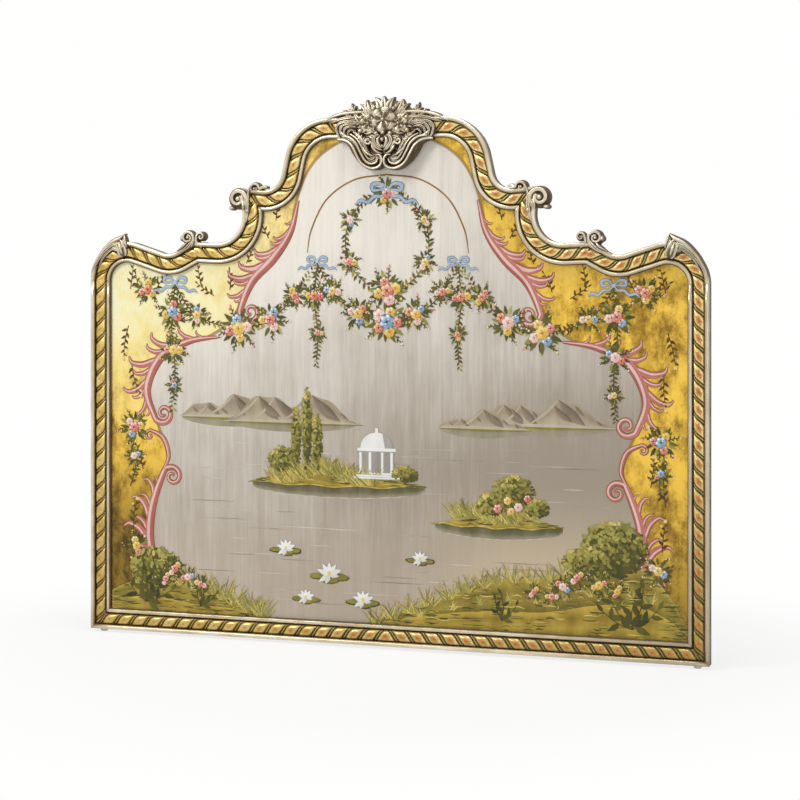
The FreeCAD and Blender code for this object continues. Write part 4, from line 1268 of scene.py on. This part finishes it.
def island(art, line, level, grass, floor=None):
    """Low ground in the lake: its sward, a dark foot, its reflection, and grass on top."""
    chance = art.chance
    x, z = smooth_line(line, 40).T
    spots = x + 1j * z
    low = floor or min(z)
    t = (x - x[0]) / (x[-1] - x[0])
    bulge = np.sin(math.pi * t).clip(0, 1)
    foot = x + 1j * (low - (0 if floor else 9 * bulge ** 0.6 - 2.5 * np.sin(t * 23)))
    if not floor:
        under = x + 1j * (low - 12 - 26 * bulge ** 0.5)
        art.ground("reflection", foot + 2j, under, 1, (0.0, 0.2, 0.9))
        rows = [(p, 0.9 + 0.6 * math.sin(2 * k)) for k, p in enumerate(under[4:-4])]
        art.stroke("haze", rows, 2, 0.7, 50)
    deep = max(z) - low > 60
    split = spots * 0.45 + foot * 0.55 + 1j * 6 * np.sin(t * 9)
    art.ground("sward", spots, split, level, (1.0, 0.35, 0.6, 0.1) if deep else (0.7, 0.5))
    art.ground("meadow", split, foot, level, (0.95, 0.35, 0.65, 0.15) if deep else (0.8, 0.45, 0.1))
    thin = np.minimum(1, np.minimum(np.arange(40), np.arange(40)[::-1]) / 6)
    rows = [(p, (2.0 + 1.2 * math.sin(k)) * thin[k]) for k, p in enumerate(spots)]
    art.stroke("leaf_light", rows, level + 1, 0.9, 60)
    rows = [(p + 3j, 1.3 + 0.8 * math.sin(2 * k)) for k, p in enumerate(foot[2:-2])]
    art.stroke("straw", rows, level + 1, 0.5, 60)
    for _ in range(int(abs(x[-1] - x[0]) * (max(z) - low) ** 0.5 / 36)):
        k = int(chance.random() * (len(spots) - 1))
        spot = complex(x[k], z[k] - (z[k] - low) * chance.random())
        reach = chance.uniform(8, 22)
        name = chance.choice(("bank_shade", "leaf_light", "bank", "straw", "leaf"))
        art.dash(name, spot, complex(reach, chance.uniform(-4, 5)), 0.5, 1.6, level + 2)
    for spot, reach, count in grass:
        art.tuft(spot, reach, count, level + 4)


def spray(art, place, angles, reach, level):
    """Arching stems with broad, dark leaves from one foot."""
    for k, angle in enumerate(angles):
        pigment = "bank_shade" if k % 3 else "leaf"
        art.sprig(place, angle, reach * (1.0 if k % 2 else 0.8), pigment, level + k % 3, reach * 0.36, None,
                  0.30 if angle < 90 else -0.30)


def temple(art, foot, size, level):
    """A small round temple: steps, columns, a beam and a dome."""
    def put(pigment, places, lift, tone):
        art.shape(pigment, [foot + place * size for place in places], level + lift, tone)

    def box(pigment, x, z, wide, tall, lift, tone):
        corners = ((-wide, 0), (wide, 0), (wide, tall), (-wide, tall))
        put(pigment, [complex(x + side, z + up) for side, up in corners], lift, tone)

    def curve(last, count):
        return [complex(0.40 * math.cos(a), 0.71 + 0.36 * math.sin(a)) for a in np.linspace(0, last, count)]
    box("stone_shade", 0, 0.1, 0.40, 0.55, 0, 0.3)
    for z, wide in ((0, 0.56), (0.05, 0.50), (0.10, 0.45)):
        box("white", 0, z, wide, 0.045, 1, 0.7 + z)
    for x in (-0.38, -0.15, 0.15, 0.38):
        box("white", x, 0.14, 0.045, 0.50, 1, 0.9)
        box("stone_shade", x + 0.03, 0.14, 0.016, 0.50, 2, 0.7)
    box("white", 0, 0.62, 0.47, 0.09, 2, 0.9)
    box("stone_shade", 0, 0.615, 0.47, 0.022, 3, 0.5)
    put("white", curve(math.pi, 12), 2, 0.75)
    put("stone_shade", curve(1.2, 6) + [0.2 + 0.71j], 3, 0.8)
    box("white", 0, 1.05, 0.035, 0.12, 3, 0.9)


def lily(art, place, size, level):
    """A white water lily on its pads."""
    for x, z, reach in ((-0.9, -0.15, 0.75), (0.8, -0.2, 0.85), (0.1, -0.45, 0.7)):
        art.blob("leaf", place + complex(x, z) * size, reach * size, level, art.chance.random(), 0.36)
        art.blob("bank", place + complex(x, z + 0.04) * size, reach * size * 0.8, level + 1, 0.6, 0.32)
    for angle, reach, tone in (
            (-8, 0.75, 0.3), (248, 0.75, 0.3), (25, 1, 0.5), (215, 1, 0.6), (20, 1, 0.6), (160, 1, 0.8),
            (55, 0.95, 0.8), (125, 0.95, 1.0), (90, 0.9, 1.0)):
        art.leaf("stone_shade", place, angle, reach * size * 1.06, size * 0.44, level + 2, 0.8)
        art.leaf("white", place, angle, reach * size, size * 0.38, level + 3, tone)
    art.blob("yellow", place + 0.1j * size, size * 0.16, level + 5, 0.7)


def landscape(art):
    """A lake between hills, wooded islets, one with a white temple, and banks with lilies in front."""
    chance = art.chance
    for first, last, foot, tall, level in ((-620, -330, 628, 74, 0), (-480, -90, 618, 104, 3),
                                           (250, 640, 626, 92, 0), (150, 400, 616, 56, 3)):
        hills(art, first, last, foot, tall, level)
    for _ in range(70):
        spot = complex(chance.uniform(-560, 560), chance.uniform(110, 560))
        art.dash("water", spot, complex(chance.uniform(25, 90), 0), 0.4, 1.5, 0)
    tufts = [(complex(x, 460 + 14 * math.sin(x / 40)), 56, 26) for x in range(-330, -40, 20)]
    bank = [(-400, 449), (-330, 468), (-240, 482), (-140, 474), (-60, 466), (30, 462), (110, 448)]
    island(art, bank, 6, tufts)
    for x, tall in ((-270, 92), (-236, 118), (-206, 84)):
        art.crown(complex(x, 480 + tall), 15, tall, 90, 9, 8)
    art.crown(-310 + 512j, 42, 34, 90, 9)
    temple(art, -30 + 466j, 120, 9)
    art.crown(52 + 480j, 36, 24, 60, 9)
    tufts = [(complex(x, 364 + 10 * math.sin(x / 30)), 50, 24) for x in range(200, 440, 20)]
    island(art, [(140, 352), (220, 368), (310, 382), (400, 374), (500, 352)], 6, tufts)
    art.crown(360 + 440j, 62, 50, 150, 9)
    art.crown(300 + 410j, 40, 32, 80, 10)
    art.crown(430 + 402j, 34, 24, 60, 10)
    for k, (spot, radius) in enumerate((
            (318 + 398j, 13), (346 + 420j, 12), (376 + 404j, 13), (402 + 428j, 11), (356 + 392j, 11))):
        art.flower(spot, radius, FLOWERS[k % 3], 15)
    # banks in front, larger on the right
    bank = [(-60, 66), (-30, 78), (90, 120), (220, 172), (330, 206), (450, 214), (560, 250), (640, 262),
            (716, 252), (800, 170), (838, 84)]
    tufts = [(complex(x, z - 10), 52, 20) for x, z in smooth_line(bank, 50)[5:36:2]]
    tufts += [(complex(x, z * 0.6 + 20), 34, 10) for x, z in smooth_line(bank, 30)[6:26:2]]
    island(art, bank, 8, tufts, 61.0)
    art.crown(640 + 300j, 92, 76, 240, 12, 11)
    art.crown(560 + 262j, 60, 44, 120, 12, 10)
    bank = [(-838, 120), (-760, 150), (-660, 158), (-560, 138), (-470, 112), (-390, 78), (-350, 66)]
    tufts = [(complex(x, z - 8), 62, 22) for x, z in smooth_line(bank, 28)[5:26:2]]
    island(art, bank, 8, tufts, 61.0)
    art.crown(-700 + 196j, 80, 54, 180, 12, 10)
    for spot, radius in (
            (-640 + 190j, 18), (-600 + 168j, 16), (-668 + 160j, 15), (-560 + 150j, 14), (500 + 196j, 17),
            (540 + 222j, 16), (470 + 168j, 15), (600 + 205j, 18), (420 + 178j, 13), (650 + 190j, 15)):
        art.posy(spot, radius * 1.5, 3, 17, 9)
    spray(art, -730 + 92j, (8, 38, 75, 112, 150), 104, 18)
    spray(art, -560 + 88j, (20, 66, 118), 70, 18)
    spray(art, 690 + 92j, (22, 58, 100, 142, 168), 110, 18)
    spray(art, 330 + 96j, (30, 75, 125), 70, 18)
    for spot, size in (
            (-170 + 196j, 38), (-300 + 262j, 30), (-70 + 128j, 32), (96 + 250j, 26), (-240 + 128j, 27)):
        lily(art, spot, size, 6)


# Sprigs of the margin, right half: x, z, angle, length and leaf
SPRIGS = (
    (780, 985, 100, 70, 18), (740, 960, 60, 70, 18), (700, 985, 120, 60, 16), (560, 1000, 80, 54, 16),
    (520, 968, 30, 60, 16), (470, 985, 100, 54, 15), (786, 880, -70, 90, 18), (776, 770, -95, 90, 18),
    (740, 470, 80, 80, 17), (780, 420, 100, 90, 18), (770, 300, 85, 80, 18), (760, 200, 60, 70, 16),
    (330, 1180, 100, 60, 15), (352, 1130, 60, 60, 15), (300, 1250, 110, 60, 14), (420, 1060, 120, 50, 15))


def ornaments(art):
    """Scrolls, swags, drops, a wreath and sprigs, the same on both halves but for the brush."""
    for art.sign in (1, -1):
        at, line, rows, sign = art.at, art.line, art.rows, art.sign
        art.scroll(rows((500, 852, 2), (596, 838, 8), (684, 792, 12), (728, 700, 11), (704, 622, 8)),
                   4, 1.25, 30, -sign, 11)
        art.scroll(rows((606, 96, 3), (672, 160, 8), (716, 250, 12), (712, 360, 11), (676, 462, 8)),
                   3, 1.25, 30, sign, 11)
        art.scroll(rows((262, 1236, 2), (286, 1148, 8), (338, 1074, 12), (402, 1010, 11), (436, 936, 8)),
                   4, 1.25, 32, -sign, 11)
        art.scroll(rows((676, 470, 2), (660, 510, 5), (676, 560, 6), (712, 580, 4)), 4, 1.0, 15, -sign)
        art.swag(line((640, 1000), (590, 926), (500, 884), (400, 880), (306, 934), (206, 1060)),
                 [(0.20, 24, 3), (0.44, 38, 5), (0.62, 34, 4), (0.80, 24, 3)], 12)
        art.swag(line((206, 1056), (214, 960), (204, 860), (210, 770)),
                 [(0.30, 26, 3), (0.66, 18, 2)], 12, 14)
        art.swag(line((640, 1000), (650, 880), (640, 760), (646, 640)),
                 [(0.22, 32, 4), (0.52, 28, 3), (0.80, 18, 2)], 12, 15)
        art.bow(at(640, 1004), 34, 16)
        art.bow(at(206, 1066), 28, 16)
        for x, z, angle, length, size in SPRIGS:
            art.sprig(at(x, z), angle if sign > 0 else 180 - angle, length, "brown", 5, size,
                      "yellow" if length > 75 else None)
        art.posy(at(768, 590), 36, 4, 12)
        art.swag(line((768, 590), (776, 540), (764, 490), (770, 440)), [(0.55, 20, 2)], 11, 14)
        art.posy(at(760, 250), 30, 3, 12)
        art.posy(at(726, 985), 34, 4, 12)
        arch = rows((0, 1306, 2.2), (96, 1292, 2.2), (176, 1240, 2.2), (222, 1158, 2.2), (236, 1090, 1))
        art.stroke("gilt_line", arch, 2, 0.5, 40)
    art.swag([-206 + 1060j, -130 + 950j, 900j, 130 + 950j, 206 + 1060j],
             [(0.16, 24, 3), (0.34, 30, 4), (0.5, 42, 6), (0.66, 30, 4), (0.84, 24, 3)], 12)
    ring = [complex(122 * math.cos(a), 1120 + 134 * math.sin(a)) for a in np.radians(np.arange(-90, 271, 20))]
    art.swag(ring, [(0.5, 30, 4), (0.0, 38, 5), (0.18, 22, 3), (0.82, 22, 3), (0.33, 20, 2), (0.67, 20, 2)],
             12, 18)
    art.bow(1262j, 44, 18)


def make_painting(seed):
    art = Painting(seed)
    landscape(art)
    ornaments(art)
    art.build(paint_material)


def make_pairs(material, **carvings):
    """Carvings for the right half, and mirrored for the left."""
    for name, grids in carvings.items():
        for side, mirror in SIDES:
            node = side + "_" + name
            finish_piece(carving(node + "_carving", grids, mirror), "silvered_wood", material, node)


def make_crest(material):
    make_pairs(material, crest_lobe=crest_lobe(), crest_wing=crest_wing())
    middle = {"crest_body": crest_body(), "crest_leaves": crest_leaves(), "crest_flowers": crest_flowers()}
    for name, grids in middle.items():
        finish_piece(carving(name + "_carving", grids), "silvered_wood", material, name)


def screw_head(centre, turn):
    """A pan head with a cross recess, on the outer side of a clip or strap."""
    angles = np.radians(np.arange(0, 360, 11.25))
    star = 0.22 + 0.78 * np.abs(np.cos(2 * (angles - math.radians(turn)))) ** 6
    edge = np.ones_like(angles)
    rings = [(1.0, 0.0, edge), (1.0, 0.25, edge), (0.9, 0.6, edge), (0.72, 0.9, edge), (0.55, 1.0, star),
             (0.50, 0.45, star), (0.02, 0.45, edge)]
    flat = np.array([centre + screw_radius * share * ring * np.exp(1j * angles) for share, _, ring in rings])
    heights = np.array([[screw_seat - screw_height * lift] for _, lift, _ in rings])
    rise = np.array([[1.0]] * 5 + [[0.0]] * 2)
    return at_height(flat, heights), {"rise": rise}


def islands(node):
    """The corners of each separate solid of a node, as places in the plane."""
    bm = bmesh.new()
    bm.from_mesh(frame["nodes"][node].data)
    bmesh.ops.remove_doubles(bm, verts=bm.verts, dist=0.01 * MM)
    left, groups = set(bm.verts), []
    while left:
        group, edge = set(), {left.pop()}
        while edge:
            group |= edge
            edge = {e.other_vert(v) for v in edge for e in v.link_edges} - group
        left -= group
        groups.append(np.array([complex(v.co.x, v.co.z) / MM for v in group]))
    bm.free()
    return sorted(groups, key=lambda spots: (round(spots.mean().real), round(spots.mean().imag)))


def make_screws(material):
    """Screws of the board clips and of the hanger straps, at places taken from the nodes themselves."""
    grids = []
    low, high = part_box("backing_board")
    centre = complex((low.x + high.x) / 2, (low.z + high.z) / 2) / MM
    for k, spots in enumerate(islands("board_clips")):
        middle = spots.mean()
        reach = spots - middle
        axis = reach[np.abs(reach).argmax()]
        reach = reach[np.argsort((reach * axis.conjugate()).real)]
        half = len(reach) // 2
        way = reach[half:].mean() - reach[:half].mean()
        way /= abs(way)
        outward = way if (way * (middle - centre).conjugate()).real > 0 else -way
        grids.append(screw_head(middle + outward * clip_length * 0.26, 17 * k))
    for node in ("left_hanger", "right_hanger"):
        low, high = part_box(node)
        for k, share in enumerate((0.16, 0.44)):
            spot = complex((low.x + high.x) / 2, low.z + (high.z - low.z) * share) / MM
            grids.append(screw_head(spot, 31 * k + 8))
    finish_piece(surface("back_screws", grids), "steel", material)


def plain_look(name, noise, limits, dark, light, roughness, spread, bump):
    """A material of one noise between two colours; noise, limits and bump are rows of arguments."""
    s = Shade(name)
    grain = s.noise(*noise)
    rough = roughness + (grain - 0.5) * spread if spread else roughness
    colour = s.mix(grain.smooth(*limits), dark, light)
    return s.surface(Base_Color=colour, Roughness=rough, Normal=s.bump(grain, *bump))


def hardboard():
    """Brown fibre board with long smears and fine fibres."""
    s = Shade("hardboard")
    smear = s.noise(4.0, 5.0, stretch=(0.4, 1, 1.2))
    fibre = s.noise(420.0, 2.0, stretch=(0.35, 1, 1))
    colour = s.mix(smear.smooth(0.3, 0.7), (0.20, 0.125, 0.065), (0.33, 0.225, 0.13))
    colour = s.mix(fibre.smooth(0.55, 0.75) * 0.5, colour, (0.46, 0.35, 0.22))
    return s.surface(Base_Color=colour, Roughness=0.7 + (fibre - 0.5) * 0.3, Normal=s.bump(fibre, 0.15, 0.5))


def zinc_steel():
    s = Shade("zinc_steel")
    cloud = s.noise(90.0, 4.0)
    speck = s.noise(600.0, 2.0)
    tone = s.mix(cloud.smooth(0.3, 0.7), (0.33, 0.325, 0.30), (0.50, 0.49, 0.47))
    return s.surface(
        Base_Color=tone, Metallic=1.0, Roughness=0.34 + (cloud - 0.5) * 0.3, Normal=s.bump(speck, 0.05, 0.4))


def dress_nodes():
    """Gives the nodes that stay the material of their slot."""
    looks = {
        "felt": plain_look("felt", (300.0, 4.0), (0.3, 0.7), (0.05, 0.05, 0.048), (0.12, 0.12, 0.11), 0.95, 0,
                           (0.4, 0.8)),
        "backing": hardboard(),
        "plain_wood": plain_look("plain_wood", (26.0, 6.0, (0.15, 1, 1.6)), (0.25, 0.75), (0.26, 0.15, 0.07),
                                 (0.52, 0.36, 0.20), 0.62, 0.2, (0.3, 0.4)),
        "steel": shared("zinc_steel", zinc_steel),
        "bumper_rubber": plain_look("bumper_rubber", (120.0, 4.0), (0.3, 0.7), (0.022, 0.022, 0.022),
                                    (0.055, 0.053, 0.05), 0.7, 0.3, (0.1, 0.4)),
    }
    for row in frame["record"]["subparts"]:
        if row["material_slot"] in looks:
            frame["nodes"][row["node"]].material_slots[0].material = looks[row["material_slot"]]


# Studio
WHITE = (0.995, 0.995, 0.99)
FLOOR_SIZE = 30
# Floor: metres from the middle over which its brightness fades in
FADE = (0.8, 1.6)
AIM = (0, 0, 0.8)
# Place and size of the key light in metres
KEY_PLACE, KEY_SIZE = (-2.4, -3.0, 3.6), 1.2
# Lamps besides it: name, place in metres, size in metres and power
LAMPS = (("fill", (3.4, -3.6, 1.4), 2.0, 17.0), ("top", (0.4, -0.5, 3.8), 1.4, 45.0))

# Camera: bearing to the right of straight ahead, distance and height in metres, and a focal length,
# a picture size, the middle of the object and the horizon in pixels
CAMERA_TURN = math.radians(19.5)
CAMERA_DISTANCE, EYE_HEIGHT, FACE_Y = 6.156, 1.131, -0.0035
FOCAL, PICTURE, CENTRE_COLUMN, HORIZON = 2240.0, 800.0, 385.3, 238.0
SENSOR = 36.0


def make_stage():
    s = Shade("studio_floor")
    s.surface(Base_Color=(0.93, 0.93, 0.92), Roughness=0.7)
    spot = s.add("ShaderNodeTexCoord", output="Object")
    away = s.add("ShaderNodeVectorMath", {0: spot}, output="Value", operation="LENGTH")
    share = s.seen("Camera", "Glossy", "Transmission") * (0.80 + away.smooth(*FADE) * 0.2)
    white = s.add("ShaderNodeEmission", {"Color": WHITE, "Strength": 1.0})
    s.finish("Material Output", share, Value(s, s.shader.outputs[0]), white)
    bm = bmesh.new()
    bmesh.ops.create_grid(bm, x_segments=1, y_segments=1, size=FLOOR_SIZE)
    floor = add_mesh("studio_floor", bm)
    floor.data.materials.append(s.material)


def make_light(key_power):
    world = bpy.data.worlds.new("studio")
    bpy.context.scene.world = world
    nodes = Nodes(world)
    back = nodes.tree.nodes["Background"]
    nodes.feed(back.inputs["Color"], (0.86, 0.87, 0.90))
    nodes.feed(back.inputs["Strength"], 0.34)
    white = nodes.add("ShaderNodeBackground", {"Color": WHITE})
    nodes.finish("World Output", nodes.seen("Camera", "Glossy"), Value(nodes, back.outputs[0]), white)
    for name, spot, size, power in (("key", KEY_PLACE, KEY_SIZE, key_power), *LAMPS):
        lamp = bpy.data.lights.new(name, "AREA")
        lamp.energy, lamp.size = power, size
        thing = add_object(name, lamp)
        thing.location = spot
        thing.rotation_euler = (Vector(AIM) - Vector(spot)).to_track_quat("-Z", "Y").to_euler()


def make_camera():
    """The camera stands to the right of the mirror and looks level, shifted as the photograph is framed."""
    data = bpy.data.cameras.new("camera")
    data.lens = SENSOR * FOCAL / PICTURE
    data.sensor_width = SENSOR
    data.shift_y = (HORIZON - PICTURE / 2) / PICTURE
    thing = add_object("camera", data)
    thing.location = (CAMERA_DISTANCE * math.sin(CAMERA_TURN),
                      FACE_Y - CAMERA_DISTANCE * math.cos(CAMERA_TURN), EYE_HEIGHT)
    aside = math.atan((PICTURE / 2 - CENTRE_COLUMN) / FOCAL)
    thing.rotation_euler = (math.pi / 2, 0, CAMERA_TURN - aside)
    bpy.context.scene.camera = thing


class MirrorLook(bpy.types.PropertyGroup):
    """Sizes and colours that a user of the mirror would change."""
    rope_pitch: bpy.props.FloatProperty(
        name="Rope pitch", description="Length of one carved unit of the rope",
        default=0.047, min=0.025, max=0.12, subtype="DISTANCE", unit="LENGTH")
    rope_rise: bpy.props.FloatProperty(
        name="Rope rise", description="How far the rope stands out of its hollow",
        default=0.012, min=0.004, max=0.014, subtype="DISTANCE", unit="LENGTH")
    rope_slant: bpy.props.FloatProperty(
        name="Rope slant", description="Lean of the grooves from square across",
        default=math.radians(38), min=0.0, max=math.radians(55), subtype="ANGLE", unit="ROTATION")
    silver: bpy.props.FloatVectorProperty(
        name="Silver leaf", description="Colour of the bright silver leaf on the frame",
        default=(0.80, 0.725, 0.57), min=0.0, max=1.0, subtype="COLOR")
    # The glaze colour also serves as the painted shade in the frame's hollows
    glaze_and_shade: bpy.props.FloatVectorProperty(
        name="Glaze", description="Colour of the brown glaze in the frame's hollows",
        default=(0.10, 0.066, 0.028), min=0.0, max=1.0, subtype="COLOR")
    gold: bpy.props.FloatVectorProperty(
        name="Gold leaf", description="Colour of the gold leaf on the rope",
        default=(0.94, 0.72, 0.26), min=0.0, max=1.0, subtype="COLOR")
    paint_seed: bpy.props.IntProperty(
        name="Brush", description="Number that sets how leaves and petals of the painting fall",
        default=41, min=0)
    key_power: bpy.props.FloatProperty(
        name="Key light", description="Power of the studio's main light",
        default=90.0, min=0.0, subtype="POWER", unit="POWER")


class MIRROR_OT_rails(bpy.types.Operator):
    """Make the silvered mouldings of the frame"""
    bl_idname = "mirror.rails"
    bl_label = "Mouldings"

    def execute(self, context):
        make_rails(shared("silver_leaf", silver_leaf))
        return {"FINISHED"}


class MIRROR_OT_ropes(bpy.types.Operator):
    """Make the gilt, carved ropes in the mouldings' hollow"""
    bl_idname = "mirror.ropes"
    bl_label = "Gilt ropes"

    def execute(self, context):
        make_ropes(shared("gilt_rope", gilt_rope))
        return {"FINISHED"}


class MIRROR_OT_scrolls(bpy.types.Operator):
    """Make the scrolls on the cusps and the leaves on the shoulders"""
    bl_idname = "mirror.scrolls"
    bl_label = "Scrolls and shoulder leaves"

    def execute(self, context):
        make_pairs(shared("carved_leaf", carved_leaf), upper_scroll=upper_scroll(),
                   lower_scroll=lower_scroll(), shoulder_leaf=shoulder_leaf())
        return {"FINISHED"}


class MIRROR_OT_crest(bpy.types.Operator):
    """Make the carved crest: body, lobes, wings, leaves and flowers"""
    bl_idname = "mirror.crest"
    bl_label = "Crest"

    def execute(self, context):
        make_crest(shared("carved_leaf", carved_leaf))
        return {"FINISHED"}


class MIRROR_OT_plate(bpy.types.Operator):
    """Make the silvered plate with its gilt margin"""
    bl_idname = "mirror.plate"
    bl_label = "Plate"

    def execute(self, context):
        make_plate(plate_leaf())
        return {"FINISHED"}


class MIRROR_OT_painting(bpy.types.Operator):
    """Paint the lake, the scrolls and the garlands on the plate"""
    bl_idname = "mirror.painting"
    bl_label = "Painting"

    def execute(self, context):
        make_painting(context.scene.mirror_look.paint_seed)
        return {"FINISHED"}


class MIRROR_OT_back(bpy.types.Operator):
    """Add the screws on the back, and dress the nodes that stay"""
    bl_idname = "mirror.back"
    bl_label = "Back and hardware"

    def execute(self, context):
        make_screws(shared("zinc_steel", zinc_steel))
        dress_nodes()
        return {"FINISHED"}


class MIRROR_OT_stage(bpy.types.Operator):
    """Set up the floor, the lights and the camera"""
    bl_idname = "mirror.stage"
    bl_label = "Stage"

    def execute(self, context):
        context.scene.view_settings.view_transform = "Standard"
        make_camera()
        make_light(context.scene.mirror_look.key_power)
        make_stage()
        return {"FINISHED"}


class MIRROR_PT_panel(bpy.types.Panel):
    """The mirror's settings and steps, in the sidebar"""
    bl_label = "Mirror"
    bl_idname = "MIRROR_PT_panel"
    bl_space_type = "VIEW_3D"
    bl_region_type = "UI"
    bl_category = "Mirror"

    def draw(self, context):
        for name in MirrorLook.__annotations__:
            self.layout.prop(context.scene.mirror_look, name)
        for operator in OPERATORS:
            self.layout.operator(operator.bl_idname)


OPERATORS = (MIRROR_OT_stage, MIRROR_OT_rails, MIRROR_OT_ropes, MIRROR_OT_scrolls, MIRROR_OT_crest,
             MIRROR_OT_plate, MIRROR_OT_painting, MIRROR_OT_back)
CLASSES = (MirrorLook, *OPERATORS, MIRROR_PT_panel)


def register():
    for cls in CLASSES:
        bpy.utils.register_class(cls)
    bpy.types.Scene.mirror_look = bpy.props.PointerProperty(type=MirrorLook)


def unregister():
    del bpy.types.Scene.mirror_look
    for cls in reversed(CLASSES):
        bpy.utils.unregister_class(cls)


def main():
    register()
    bpy.ops.mirror.stage()
    bpy.ops.mirror.rails()
    bpy.ops.mirror.ropes()
    bpy.ops.mirror.scrolls()
    bpy.ops.mirror.crest()
    bpy.ops.mirror.plate()
    bpy.ops.mirror.painting()
    bpy.ops.mirror.back()


if __name__ == "__main__":
    main()
